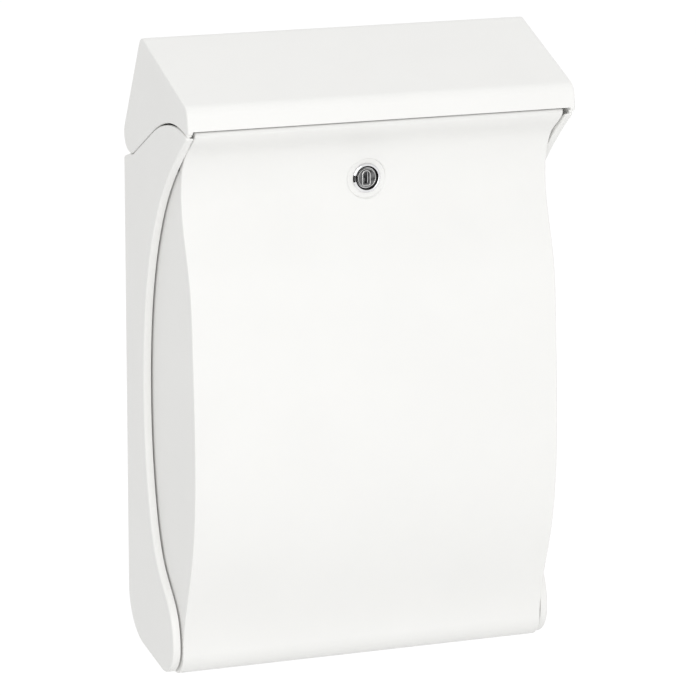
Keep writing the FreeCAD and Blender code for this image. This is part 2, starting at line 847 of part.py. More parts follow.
def make_rail():
    """Strike rail: a flat top, a leg that the cam hooks behind and a low rain lip."""
    end = SIDE_INNER - RAIL_END_GAP
    narrow = DOOR_HALF - RAIL_NARROW
    leg = SIDE_INNER - LEDGE_LONG - RAIL_LEG_SHORT
    plate = block((-narrow, -RAIL_FRONT_DEPTH, RAIL_UNDER), (narrow, -RAIL_BACK_DEPTH, RAIL_TOP))
    ends = block((-end, -RAIL_END_DEPTH, RAIL_UNDER), (end, -RAIL_BACK_DEPTH, RAIL_TOP))
    web = block(
        (-leg, -RAIL_BACK_DEPTH - WALL, RAIL_UNDER - RAIL_LEG_DEEP), (leg, -RAIL_BACK_DEPTH, RAIL_TOP)
    )
    lip = block(
        (-narrow, -RAIL_FRONT_DEPTH, RAIL_TOP), (narrow, WALL - RAIL_FRONT_DEPTH, RAIL_TOP + RAIL_LIP_HIGH)
    )
    body = plate.fuse([ends, web, lip]).removeSplitter()
    start = Vector(screw_place(), ledge_middle(), RAIL_TOP + WALL)
    hole = Part.makeCylinder(RAIL_SCREW_RADIUS + BARREL_HOLE_GAP, 4.0 * WALL, start, Vector(0.0, 0.0, -1.0))
    return body.cut(both(hole))


def make_rail_screw():
    """Pan head screw, down through the rail into its ledge."""
    base = Vector(screw_place(), ledge_middle(), RAIL_TOP)
    shank = Part.makeCylinder(RAIL_SCREW_RADIUS, RAIL_SCREW_LONG, base, Vector(0.0, 0.0, -1.0))
    head = Part.makeCylinder(RAIL_SCREW_HEAD, RAIL_SCREW_HEAD_HIGH, base)
    top = [edge for edge in head.Edges if abs(edge.CenterOfMass.z - base.z - RAIL_SCREW_HEAD_HIGH) < 0.01]
    head = head.makeChamfer(SCREW_CHAMFER, top)
    half = SLOT_WIDE / 2.0
    slot = block(
        (base.x - BIG, base.y - half, base.z + RAIL_SCREW_HEAD_HIGH - SLOT_DEEP),
        (base.x + BIG, base.y + half, base.z + 2.0 * RAIL_SCREW_HEAD_HIGH),
    )
    return head.fuse(shank).removeSplitter().cut(slot)


def make_lock_body():
    """Collar on the door, barrel with two flats through it, and a stop at its rear."""
    front = SEAT_Y - COLLAR_HIGH
    collar = lock_bar(COLLAR_RADIUS, front, SEAT_Y)
    rim = [edge for edge in collar.Edges if abs(edge.CenterOfMass.y - front) < 0.01]
    collar = collar.makeChamfer(COLLAR_CHAMFER, rim)
    barrel = lock_bar(BARREL_RADIUS, SEAT_Y, BARREL_END_Y)
    barrel = barrel.common(lock_block(BARREL_FLAT / 2.0, BARREL_RADIUS, SEAT_Y, BARREL_END_Y))
    inner = STOP_HUB_RADIUS + STOP_TAB_GAP
    outer = BARREL_FLAT / 2.0
    stop_rear = BARREL_END_Y + STOP_THICK
    stop = lock_sector(inner, outer, BARREL_END_Y, stop_rear, stop_first(), stop_span())
    body = collar.fuse([barrel, stop]).removeSplitter()
    groove_front = BARREL_END_Y - KEEPER_SET_BACK - KEEPER_THICK / 2.0 - WAFER_GAP
    groove_rear = groove_front + KEEPER_THICK + 2.0 * WAFER_GAP
    low = (-COLLAR_RADIUS, front - NOTCH_DEEP, LOCK_HEIGHT - NOTCH_HIGH / 2.0)
    high = (NOTCH_WIDE - COLLAR_RADIUS, front + NOTCH_DEEP, LOCK_HEIGHT + NOTCH_HIGH / 2.0)
    cuts = [
        lock_bar(PLUG_RADIUS + RUNNING, front - WALL, BARREL_END_Y),
        lock_bar(COLLAR_CUP_RADIUS, front - WALL, front + COLLAR_CUP_DEEP),
        lock_bar(keeper_reach() + WAFER_GAP, groove_front, groove_rear),
        block(low, high),
    ]
    return body.cut(cuts)


def stop_first():
    """Angle where the fixed stop begins, just past the stop washer's tab at rest."""
    return 180.0 + STOP_TAB_SPAN / 2.0 + STOP_SPARE


def stop_span():
    """Span of the fixed stop: what the tab and its quarter turn leave free."""
    return 360.0 - STOP_TAB_SPAN - LOCK_TURN - 2.0 * STOP_SPARE


def keeper_reach():
    """How far the keeper stands out from the plug's axis."""
    return PLUG_RADIUS + KEEPER_RISE


def plug_front():
    """Front face of the plug."""
    return SEAT_Y - PLUG_PROUD - COLLAR_CUP_DEEP / 2.0


def wafer_places():
    """Depths of the wafers' middles."""
    first = plug_front() + WAFER_FIRST
    return [first + WAFER_PITCH * index for index in range(WAFER_COUNT)]


def make_plug():
    """Turning core with keyway, wafer slots, keeper slot and a square tail."""
    front = plug_front()
    body = lock_bar(PLUG_RADIUS, front, PLUG_END_Y)
    rim = [edge for edge in body.Edges if abs(edge.CenterOfMass.y - front) < 0.01]
    body = body.makeChamfer(PLUG_CHAMFER, rim)
    tail = lock_block(SQUARE / 2.0, SQUARE / 2.0, PLUG_END_Y, CAM_WASHER_Y - PLUG_END_GAP)
    body = body.fuse(tail).removeSplitter()
    keyway = lock_block(KEYWAY_WIDE / 2.0, KEYWAY_HIGH / 2.0, front - WALL, front + KEYWAY_DEEP)
    ward = block(
        (-KEYWAY_WIDE / 2.0 - WARD_WIDE, front - WALL, LOCK_HEIGHT),
        (0.0, front + KEYWAY_DEEP, LOCK_HEIGHT + WARD_HIGH),
    )
    cuts = [keyway, ward]
    for depth in wafer_places():
        half = WAFER_THICK / 2.0 + WAFER_GAP
        cuts.append(lock_block(WAFER_WIDE / 2.0 + WAFER_GAP, BIG, depth - half, depth + half))
        pocket = Part.makeCylinder(
            SPRING_RADIUS + SPRING_WIRE,
            spring_pocket_long(),
            Vector(SPRING_OUT, depth, LOCK_HEIGHT - spring_pocket_long() / 2.0),
        )
        cuts.append(pocket)
    rear = BARREL_END_Y - KEEPER_SET_BACK
    half = KEEPER_THICK / 2.0 + WAFER_GAP
    cuts.append(
        block(
            (-KEEPER_WIDE / 2.0 - WAFER_GAP, rear - half, LOCK_HEIGHT),
            (KEEPER_WIDE / 2.0 + WAFER_GAP, rear + half, LOCK_HEIGHT + BIG),
        )
    )
    cuts.append(lock_bar(CAM_SCREW_RADIUS, CAM_WASHER_Y - CAM_SCREW_LONG, CAM_HEAD_Y))
    return body.cut(cuts)


def spring_pocket_long():
    """Length of a spring's pocket in the plug."""
    return SPRING_TURNS * SPRING_PITCH + SPRING_WIRE + 2.0 * WAFER_GAP


def make_wafers():
    """Flat tumblers with a window for the key."""
    wafers = []
    for depth in wafer_places():
        half = WAFER_THICK / 2.0
        plate = lock_block(WAFER_WIDE / 2.0, WAFER_HIGH / 2.0, depth - half, depth + half)
        window = lock_block(WAFER_WINDOW_WIDE / 2.0, WAFER_WINDOW_HIGH / 2.0, depth - WALL, depth + WALL)
        wafers.append(plate.cut(window))
    return Part.makeCompound(wafers)


def make_springs():
    """One small coil beside each wafer, of square wire."""
    springs = []
    for depth in wafer_places():
        long = SPRING_TURNS * SPRING_PITCH
        helix = Part.makeHelix(SPRING_PITCH, long, SPRING_RADIUS)
        half = SPRING_WIRE / 2.0
        corners = [(-half, -half), (half, -half), (half, half), (-half, half)]
        points = [Vector(SPRING_RADIUS + x, 0.0, z) for x, z in corners]
        section = Part.makePolygon(points + [points[0]])
        coil = Part.Wire(helix).makePipeShell([section], True, True)
        coil.translate(Vector(SPRING_OUT, depth, LOCK_HEIGHT - long / 2.0))
        springs.append(coil)
    return Part.makeCompound(springs)


def make_shutter():
    """Thin leaf along one wall of the keyway."""
    low = plug_front() + SHUTTER_SET_BACK
    right = KEYWAY_WIDE / 2.0 - SHUTTER_GAP
    half = KEYWAY_HIGH / 2.0 - SHUTTER_GAP
    leaf_end = min(low + SHUTTER_LONG, wafer_places()[0] - WAFER_THICK)
    return block((right - SHUTTER_THICK, low, LOCK_HEIGHT - half), (right, leaf_end, LOCK_HEIGHT + half))


def make_keeper():
    """Catch in the plug that rides in a groove of the barrel."""
    rear = BARREL_END_Y - KEEPER_SET_BACK
    half = KEEPER_THICK / 2.0
    plate = block(
        (-KEEPER_WIDE / 2.0, rear - half, LOCK_HEIGHT + WAFER_GAP + CAM_SCREW_RADIUS),
        (KEEPER_WIDE / 2.0, rear + half, LOCK_HEIGHT + BIG),
    )
    return plate.common(lock_bar(keeper_reach(), rear - half, rear + half))


def make_tooth_washer():
    """Washer with teeth cut round its rim."""
    rear = SEAT_REAR_Y + TOOTH_WASHER_THICK
    body = lock_bar(TOOTH_WASHER_RADIUS, SEAT_REAR_Y, rear)
    cuts = [lock_bar(BARREL_RADIUS + BARREL_HOLE_GAP, SEAT_REAR_Y - WALL, rear + WALL)]
    axis_start = Vector(0.0, 0.0, LOCK_HEIGHT)
    for index in range(TOOTH_COUNT):
        gap = block(
            (-TOOTH_WIDE / 2.0, SEAT_REAR_Y - WALL, LOCK_HEIGHT + TOOTH_WASHER_RADIUS - TOOTH_DEEP),
            (TOOTH_WIDE / 2.0, rear + WALL, LOCK_HEIGHT + TOOTH_WASHER_RADIUS + WALL),
        )
        gap.rotate(axis_start, Vector(0.0, 1.0, 0.0), 360.0 * index / TOOTH_COUNT)
        cuts.append(gap)
    return body.cut(cuts)


def make_nut():
    """Hexagon nut that clamps the lock in the door."""
    front = SEAT_REAR_Y + TOOTH_WASHER_THICK
    reach = NUT_FLATS / math.sqrt(3.0)
    corners = []
    for index in range(6):
        turn = math.radians(60.0 * index)
        corners.append(Vector(reach * math.cos(turn), front, LOCK_HEIGHT + reach * math.sin(turn)))
    outline = Part.makePolygon(corners + [corners[0]])
    body = Part.Face(outline).extrude(Vector(0.0, NUT_HIGH, 0.0))
    bar = lock_bar(reach, front, front + NUT_HIGH)
    rim = [edge for edge in bar.Edges if abs(edge.CenterOfMass.y - front - NUT_HIGH) < 0.01]
    body = body.common(bar.makeChamfer(NUT_CHAMFER, rim))
    return body.cut(lock_bar(BARREL_RADIUS, front - WALL, front + NUT_HIGH + WALL))


def make_stop_washer():
    """Disc on the square tail with a tab that runs between the stops."""
    rear = STOP_Y + STOP_THICK - PLUG_END_GAP
    hub = lock_bar(STOP_HUB_RADIUS, STOP_Y, rear)
    tab = lock_sector(
        STOP_HUB_RADIUS - 1.0, BARREL_RADIUS, STOP_Y, rear, 180.0 - STOP_TAB_SPAN / 2.0, STOP_TAB_SPAN
    )
    half = SQUARE / 2.0 + SQUARE_GAP
    hole = lock_block(half, half, STOP_Y - WALL, rear + WALL)
    return hub.fuse(tab).removeSplitter().cut(hole)


def make_cam():
    """Flat hook on the square tail, lying sideways while the lock is open."""
    front = CAM_Y
    hub = lock_bar(BARREL_RADIUS, front, front + CAM_THICK)
    reach = CAM_REACH - CAM_WIDE / 2.0
    low = (-reach, front, LOCK_HEIGHT - CAM_WIDE / 2.0)
    high = (0.0, front + CAM_THICK, LOCK_HEIGHT + CAM_WIDE / 2.0)
    arm = block(low, high)
    nose = Part.makeCylinder(
        CAM_WIDE / 2.0, CAM_THICK, Vector(-reach, front, LOCK_HEIGHT), Vector(0.0, 1.0, 0.0)
    )
    half = SQUARE / 2.0 + SQUARE_GAP
    hole = lock_block(half, half, front - WALL, front + CAM_THICK + WALL)
    return hub.fuse([arm, nose]).removeSplitter().cut(hole)


def make_cam_washer():
    """Split spring washer under the screw's head."""
    ring = lock_bar(CAM_WASHER_RADIUS, CAM_WASHER_Y, CAM_HEAD_Y)
    gap = block(
        (0.0, CAM_WASHER_Y - WALL, LOCK_HEIGHT - SLOT_WIDE / 2.0),
        (BIG, CAM_HEAD_Y + WALL, LOCK_HEIGHT + SLOT_WIDE / 2.0),
    )
    hole = lock_bar(CAM_SCREW_RADIUS + BARREL_HOLE_GAP, CAM_WASHER_Y - WALL, CAM_HEAD_Y + WALL)
    return ring.cut([hole, gap])


def make_cam_screw():
    """Screw into the plug's tail."""
    head_rear = CAM_HEAD_Y + CAM_SCREW_HEAD_HIGH
    head = lock_bar(CAM_SCREW_HEAD, CAM_HEAD_Y, head_rear)
    rim = [edge for edge in head.Edges if abs(edge.CenterOfMass.y - head_rear) < 0.01]
    head = head.makeChamfer(SCREW_CHAMFER, rim)
    shank = lock_bar(CAM_SCREW_RADIUS, CAM_WASHER_Y - CAM_SCREW_LONG, CAM_HEAD_Y)
    slot = lock_block(BIG, SLOT_WIDE / 2.0, head_rear - SLOT_DEEP, head_rear + WALL)
    return head.fuse(shank).removeSplitter().cut(slot)


def save(name, shape):
    """Moves a piece into the finished frame and writes it."""
    placed = shape.copy()
    placed.translate(Vector(0.0, 0.0, -WALL_HOLES_CENTRE))
    placed.exportStep(os.path.join("parts", name + ".step"))
    solids = placed.Solids
    print(name, len(solids), "solids, valid", placed.isValid(), "volume", round(placed.Volume, 1))


def main():
    """Makes every piece of the post box and writes it to the parts folder."""
    os.makedirs("parts", exist_ok=True)
    save("rear_housing", make_housing())
    save("strike_rail", make_rail())
    save("rail_screws", Part.makeCompound(both(make_rail_screw())))
    save("lid", make_lid())
    save("lid_pin_right", make_lid_pin())
    save("lid_pin_left", mirrored(make_lid_pin()))
    save("front_door", make_door())
    save("door_pin_right", make_door_pin())
    save("door_pin_left", mirrored(make_door_pin()))
    save("lock_body", make_lock_body())
    save("lock_washer", make_tooth_washer())
    save("lock_nut", make_nut())
    save("lock_plug", make_plug())
    save("keyway_shutter", make_shutter())
    save("lock_wafers", make_wafers())
    save("wafer_springs", make_springs())
    save("plug_keeper", make_keeper())
    save("stop_washer", make_stop_washer())
    save("cam", make_cam())
    save("cam_washer", make_cam_washer())
    save("cam_screw", make_cam_screw())


main()
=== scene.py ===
"""Looks of the wall mounted post box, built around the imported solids.

The large mouldings, the strike rail and the cam lock are surfaces worked out with numpy from
the same side views and sizes as the solids. Side views are in millimetres: the first number
runs along Y, the second is the height above the foot of the box. A finished mesh is in
metres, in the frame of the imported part, whose origin is the centre of the wall screw holes.
"""

from __future__ import annotations

import json
import logging
import math
from dataclasses import dataclass, field
from enum import Enum

import bmesh
import bpy
import numpy as np
from mathutils import Euler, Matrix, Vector

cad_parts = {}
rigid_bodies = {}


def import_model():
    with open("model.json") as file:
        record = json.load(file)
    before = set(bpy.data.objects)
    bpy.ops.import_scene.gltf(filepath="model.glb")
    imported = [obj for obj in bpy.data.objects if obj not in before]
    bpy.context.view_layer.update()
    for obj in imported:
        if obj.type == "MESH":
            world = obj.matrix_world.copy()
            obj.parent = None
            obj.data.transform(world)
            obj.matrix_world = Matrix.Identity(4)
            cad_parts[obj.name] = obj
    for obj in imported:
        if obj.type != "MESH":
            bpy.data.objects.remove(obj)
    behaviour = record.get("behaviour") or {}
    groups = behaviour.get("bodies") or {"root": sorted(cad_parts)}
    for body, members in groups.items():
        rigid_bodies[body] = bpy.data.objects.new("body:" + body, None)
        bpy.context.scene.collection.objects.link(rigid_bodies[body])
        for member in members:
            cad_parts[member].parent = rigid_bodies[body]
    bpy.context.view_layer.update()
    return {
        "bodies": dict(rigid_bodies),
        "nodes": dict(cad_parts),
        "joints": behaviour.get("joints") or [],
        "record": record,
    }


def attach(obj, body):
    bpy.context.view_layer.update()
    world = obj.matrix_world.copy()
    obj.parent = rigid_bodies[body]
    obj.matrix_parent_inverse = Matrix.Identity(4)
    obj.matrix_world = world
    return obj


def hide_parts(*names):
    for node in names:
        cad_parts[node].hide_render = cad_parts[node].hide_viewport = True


Array = np.ndarray
Socket = bpy.types.NodeSocket
Pair = tuple[float, float]
Place = Pair | Array
Triple = tuple[float, float, float]

LOG = logging.getLogger("post_box")

METRES_PER_MM = 0.001
HOLES_CENTRE_MM = 180.0
SMOOTH_LIMIT = math.radians(34.0)
MERGE_METRES = 2e-6
SAME_PLACE = 0.02
FAR = 1e3
SIDES = (-1.0, 1.0)
WHITE: Triple = (0.866, 0.864, 0.846)


class Body(Enum):
    """The moving bodies of the part."""

    CASE = "case"
    ROOF = "roof"
    DOOR = "door"
    LOCK = "lock"


class Axis(Enum):
    """The direction that a turned piece is turned about."""

    ACROSS = 0
    DEPTH = 1


@dataclass(frozen=True)
class MainSizes:
    """Sizes that more than one moulding takes up, as in the solids, in millimetres."""

    half: float = 132.5
    top_line: float = 361.0
    wall: float = 3.0
    rim_width: float = 5.2
    rim_top: Place = (-119.0, 358.0)
    arch_start: float = -56.0
    arch_peak: Place = (-96.0, 361.7)
    lid_pivot: Place = (-12.0, 344.0)
    lid_barrel: float = 12.0
    lid_lean: float = 27.6
    seam: float = 0.7
    seam_back_angle: float = -80.0
    door_pivot: Place = (-73.0, 15.0)
    door_barrel: float = 15.0
    door_gap: float = 1.2
    lock_height: float = 320.0
    seat_depth: float = -89.9


SIZES = MainSizes()


def arc_run(centre: Place, radius: float, first: float, last: float, step: float = 6.0) -> Array:
    """Points of a circle between two angles: centre plus radius times cosine and sine.

    Args:
        centre: centre of the circle in the side view.
        radius: its radius.
        first: angle of the first point, from +Y towards +Z, in degrees.
        last: angle of the last point.
        step: widest angle between neighbours.

    Returns:
        The points, one row each.
    """
    count = max(3, math.ceil(abs(last - first) / step) + 1)
    turn = np.radians(np.linspace(first, last, count))
    return np.column_stack((centre[0] + radius * np.cos(turn), centre[1] + radius * np.sin(turn)))


def straight_run(start: Place, end: Place, spacing: float = 4.0) -> Array:
    """Points of a straight line from start to end, evenly spaced at the spacing or less.

    Args:
        start: first point.
        end: last point.
        spacing: widest distance between neighbours.

    Returns:
        The points, one row each.
    """
    count = max(2, math.ceil(math.dist(start, end) / spacing) + 1)
    share = np.linspace(0.0, 1.0, count)[:, None]
    return np.array(start) * (1.0 - share) + np.array(end) * share


def smooth_run(places: list[Place], start_way: Place, end_way: Place, spacing: float) -> Array:
    """A cubic spline through points with given directions at its ends.

    The slopes at the points solve the usual three term equations that make the curvature
    continuous, with chord length as the parameter, and each span is then the Hermite cubic.

    Args:
        places: the points that the curve passes.
        start_way: its direction at the first point.
        end_way: its direction at the last point.
        spacing: about the distance between the returned points.

    Returns:
        The points, one row each.
    """
    knots = np.array(places, float)
    spans = np.linalg.norm(np.diff(knots, axis=0), axis=1)
    chords = np.diff(knots, axis=0) / spans[:, None]
    count = len(knots)
    matrix = np.eye(count)
    wanted = np.zeros((count, 2))
    wanted[0] = np.array(start_way) / np.hypot(*start_way)
    wanted[-1] = np.array(end_way) / np.hypot(*end_way)
    inner = np.arange(1, count - 1)
    before = spans[inner - 1]
    after = spans[inner]
    matrix[inner, inner - 1] = after
    matrix[inner, inner] = 2.0 * (before + after)
    matrix[inner, inner + 1] = before
    wanted[1:-1] = 3.0 * (after[:, None] * chords[inner - 1] + before[:, None] * chords[inner])
    slopes = np.linalg.solve(matrix, wanted)
    ends = np.concatenate(([0.0], np.cumsum(spans)))
    where = np.linspace(0.0, ends[-1], math.ceil(ends[-1] / spacing) + 1)
    span = np.clip(np.searchsorted(ends, where, side="right") - 1, 0, count - 2)
    share = ((where - ends[span]) / spans[span])[:, None]
    length = spans[span][:, None]
    start_part = (1.0 + 2.0 * share) * (1.0 - share) ** 2 * knots[span]
    end_part = share**2 * (3.0 - 2.0 * share) * knots[span + 1]
    start_slope = share * (1.0 - share) ** 2 * length * slopes[span]
    end_slope = share**2 * (share - 1.0) * length * slopes[span + 1]
    return start_part + end_part + start_slope + end_slope


def filleted(before: Array, after: Array, radius: float, step: float = 15.0) -> Array:
    """Joins two runs whose ends meet in a corner by a tangent round.

    The round touches both runs at the radius divided by the tangent of half the corner, and
    the points nearer to the corner than that are left out.

    Args:
        before: the run that ends in the corner.
        after: the run that starts there.
        radius: radius of the round.
        step: widest angle between neighbours on it, in degrees.

    Returns:
        Both runs and the round between them, as one run.
    """
    corner = before[-1]
    back = before[-2] - corner
    ahead = after[1] - corner
    back /= np.hypot(*back)
    ahead /= np.hypot(*ahead)
    half = math.acos(float(np.clip(back @ ahead, -1.0, 1.0))) / 2.0
    reach = radius / math.tan(half)
    centre = corner + (back + ahead) / np.hypot(*(back + ahead)) * radius / math.sin(half)
    start = corner + back * reach - centre
    end = corner + ahead * reach - centre
    first = math.atan2(start[1], start[0])
    sweep = math.atan2(start[0] * end[1] - start[1] * end[0], start @ end)
    count = max(4, math.ceil(abs(math.degrees(sweep)) / step) + 1)
    turn = first + np.linspace(0.0, sweep, count)
    arc = centre + radius * np.column_stack((np.cos(turn), np.sin(turn)))
    clear = [run[np.hypot(*(run - corner).T) > reach * 1.02] for run in (before, after)]
    return np.vstack((clear[0], arc, clear[1]))


def joined(*runs: Array) -> Array:
    """Runs one after the other, without the points that repeat the one before them."""
    points = np.vstack(runs)
    return points[np.concatenate(([True], np.hypot(*np.diff(points, axis=0).T) > SAME_PLACE))]


def seam_run() -> Array:
    """Hollow top edge of the housing that runs under the lid's barrel."""
    radius = SIZES.lid_barrel + SIZES.seam
    return arc_run(SIZES.lid_pivot, radius, SIZES.seam_back_angle, -90.0 - SIZES.lid_lean, 4.0)


def shoulder_run(lift: float, peak_lift: float) -> Array:
    """Arched top edge of a cheek, from in front of the lid's barrel to the front corner.

    Its start lies on the line that leaves the hollow round the barrel at the lean of the
    lid's back. The rest is a spline over its peak.

    Args:
        lift: height of both ends above the housing's own edge.
        peak_lift: height of the peak above it.

    Returns:
        The points, one row each.
    """
    lean = math.radians(SIZES.lid_lean)
    leave = seam_run()[-1]
    rise = (leave[0] - SIZES.arch_start) * math.tan(lean)
    places = [
        (SIZES.arch_start, leave[1] + rise + lift),
        (SIZES.arch_peak[0], SIZES.arch_peak[1] + peak_lift),
        (SIZES.rim_top[0], SIZES.rim_top[1] + lift),
    ]
    return smooth_run(places, (-math.cos(lean), math.sin(lean)), (-1.0, -0.3), 2.5)


def inward(loop: Array, closed: bool = True) -> Array:
    """How far and where each point of a line moves for an inset of one millimetre.

    Each point moves along the mean of its two edges' normals, lengthened by the cosine of
    half the corner so that the edges stay parallel to themselves.

    Args:
        loop: points of the line, one row each, anticlockwise or clockwise.
        closed: whether the last point joins the first.

    Returns:
        One offset for each point, towards the inside of the loop.
    """
    following = np.roll(loop, -1, axis=0)
    ahead = following - loop
    if not closed:
        ahead[-1] = ahead[-2]
    ahead /= np.hypot(*ahead.T)[:, None]
    back = np.roll(ahead, 1, axis=0)
    if not closed:
        back[0] = ahead[0]
    area = np.sum(loop[:, 0] * following[:, 1] - loop[:, 1] * following[:, 0])
    side = 1.0 if area > 0.0 else -1.0
    first = side * np.column_stack((-back[:, 1], back[:, 0]))
    middle = first + side * np.column_stack((-ahead[:, 1], ahead[:, 0]))
    middle /= np.hypot(*middle.T)[:, None]
    shrink = np.clip(np.sum(middle * first, axis=1), 0.6, 1.0)
    return middle / shrink[:, None]


def room(loop: Array, offset: Array) -> Array:
    """How far each point of a closed loop can move inwards before it is halfway across.

    Each point's inward line is crossed with every side of the loop at once: the point plus a
    distance times its direction equals the side's start plus a share of the side.

    Args:
        loop: points of the loop, one row each.
        offset: inward direction of each point.

    Returns:
        A little less than half the distance to the nearest side ahead of each point.
    """
    tiny, almost_half = 1e-9, 0.46
    side = np.roll(loop, -1, axis=0) - loop
    apart = loop[None, :, :] - loop[:, None, :]
    turn = offset[:, None, 0] * side[None, :, 1] - offset[:, None, 1] * side[None, :, 0]
    turn = np.where(np.abs(turn) < tiny, tiny, turn)
    distance = (apart[..., 0] * side[None, :, 1] - apart[..., 1] * side[None, :, 0]) / turn
    share = (apart[..., 0] * offset[:, None, 1] - apart[..., 1] * offset[:, None, 0]) / turn
    ahead = (distance > 1e-3) & (share >= 0.0) & (share <= 1.0)
    return almost_half * np.where(ahead, distance, FAR).min(axis=1)


def clearance(points: Array, loop: Array) -> Array:
    """Shortest distance from each point to a closed loop, all at once.

    Args:
        points: points, one row each.
        loop: points of the loop, one row each.

    Returns:
        One distance for each point.
    """
    side = np.roll(loop, -1, axis=0) - loop
    apart = points[:, None, :] - loop[None, :, :]
    share = np.clip(np.sum(apart * side, axis=2) / np.sum(side**2, axis=1), 0.0, 1.0)
    return np.hypot(*np.moveaxis(apart - share[..., None] * side, 2, 0)).min(axis=1)


def quarter(steps: int) -> list[Pair]:
    """Shares of a quarter round in pairs: one minus the cosine, and one minus the sine."""
    turn = np.linspace(0.0, math.pi / 2.0, steps + 1)
    return list(zip(1.0 - np.cos(turn), 1.0 - np.sin(turn)))


def placed(name: str, data: bpy.types.ID) -> bpy.types.Object:
    """A new object in the scene that holds the data.

    Args:
        name: name of the object.
        data: its mesh, lamp or camera.

    Returns:
        The object.
    """
    thing = bpy.data.objects.new(name, data)
    bpy.context.scene.collection.objects.link(thing)
    return thing


class Shell:
    """Collects the points and faces of one mesh, in millimetres, and writes it in metres."""

    def __init__(self) -> None:
        """Starts an empty shell."""
        self.blocks: list[Array] = []
        self.count = 0
        self.quads: list[Array] = []
        self.polygons: list[list[int]] = []

    def add(self, *lines: Array) -> Array:
        """Adds points from their lines of X, Y and height, and returns their numbers.

        Args:
            lines: X, Y and height, each as a line or as columns side by side.

        Returns:
            The points' numbers.
        """
        self.blocks.append(np.column_stack(lines))
        start = self.count
        self.count += len(self.blocks[-1])
        return np.arange(start, self.count)

    def section(self, across: float | Array, places: Array) -> Array:
        """Adds side view points at one X, or at an X each, and returns their numbers."""
        return self.add(np.full(len(places), across), places)

    def strips(
        self, rows: list[Array] | Array, closed: bool = False, kept: Array | None = None
    ) -> None:
        """Joins each row to the next by quads, point by point with their neighbours.

        Args:
            rows: point numbers, with as many in each row.
            closed: whether each row's last point joins its first.
            kept: which quads are made, by row and place; all of them unless it is given.
        """
        grid = np.array(rows)
        if closed:
            grid = np.column_stack((grid, grid[:, :1]))
        corners = (grid[:-1, :-1], grid[:-1, 1:], grid[1:, 1:], grid[1:, :-1])
        quads = np.stack(corners, axis=-1)
        self.quads.append(quads.reshape(-1, 4) if kept is None else quads[kept])

    def caps(self, *loops: Array) -> None:
        """Closes each flat loop with one face."""
        self.polygons += [np.asarray(loop).tolist() for loop in loops]

    def mesh(self, name: str) -> bpy.types.Object:
        """Writes the shell as a mesh object with outward faces and sharp corners marked.

        Args:
            name: name of the object.

        Returns:
            The object, which is linked to the scene.
        """
        points = np.vstack(self.blocks) * METRES_PER_MM
        points[:, 2] -= HOLES_CENTRE_MM * METRES_PER_MM
        data = bpy.data.meshes.new(name)
        data.from_pydata(points.tolist(), [], np.vstack(self.quads).tolist() + self.polygons)
        data.update()
        work = bmesh.new()
        work.from_mesh(data)
        bmesh.ops.remove_doubles(work, verts=work.verts, dist=MERGE_METRES)
        bmesh.ops.recalc_face_normals(work, faces=work.faces)
        work.to_mesh(data)
        work.free()
        data.polygons.foreach_set("use_smooth", np.ones(len(data.polygons), bool))
        data.set_sharp_from_angle(angle=SMOOTH_LIMIT)
        data.update()
        return placed(name, data)


def prism(
    shell: Shell, outline: Array | list[Place], start: float, stop: float, rounding: float = 0.4
) -> None:
    """A flat piece: an outline carried across X, with quarter rounds along both its edges.

    Args:
        shell: the shell that takes the faces.
        outline: closed side view outline.
        start: X of one of its sides.
        stop: X of the other one.
        rounding: radius of the edge rounds.
    """
    low, high = sorted((start, stop))
    outline = np.array(outline)
    offset = inward(outline)
    sunk = outline + offset * (rounding + 0.5)
    edge = [(rounding * near, outline + offset * rounding * far) for near, far in quarter(3)]
    rows = [shell.section(low, sunk)]
    rows += [shell.section(low + near, points) for near, points in edge]
    rows += [shell.section(high - near, points) for near, points in edge[::-1]]
    rows.append(shell.section(high, sunk))
    shell.strips(rows, closed=True)
    shell.caps(rows[0], rows[-1])


def turned_piece(
    shell: Shell, profile: list[Pair], axis: Axis, centre: Place, count: int = 48
) -> None:
    """A turned ring: a closed profile of radius and place along the axis, carried round it.

    Args:
        shell: the shell that takes the faces.
        profile: radius and place along the axis of each corner.
        axis: the axis that it is turned about.
        centre: side view place of an axis across X, or X and height of an axis in depth.
        count: points round the axis.
    """
    turn = np.linspace(0.0, 2.0 * math.pi, count, endpoint=False)
    rows = []
    for radius, along in profile:
        lines = [centre[0] + radius * np.cos(turn), centre[1] + radius * np.sin(turn)]
        lines.insert(axis.value, np.full(count, along))
        rows.append(shell.add(*lines))
    shell.strips(rows + rows[:1], closed=True)


@dataclass(frozen=True)
class Ring:
    """One ring of a round window: its radius and its place through the wall.

    Inset is measured from the outer face along its normal. Where depth is given, the ring
    lies in the flat plane of that Y instead. Flats limits how far the ring reaches in X.
    """

    radius: float
    inset: float = 0.0
    depth: float | None = None
    flats: float = FAR


def rings_at(radius: float, *steps: Pair) -> tuple[Ring, ...]:
    """Rings from steps, each of which is what is added to the radius, and the inset."""
    return tuple(Ring(radius + wider, inset) for wider, inset in steps)


@dataclass(frozen=True)
class Window:
    """A round hole through a tray's band, in a square patch of its grid.

    Across is its X, place its side view place, half the patch's half width, and cells the
    number of grid cells along the patch. The rings run from outside to inside.
    """

    across: float
    place: Place
    half: float
    cells: int
    rings: tuple[Ring, ...]


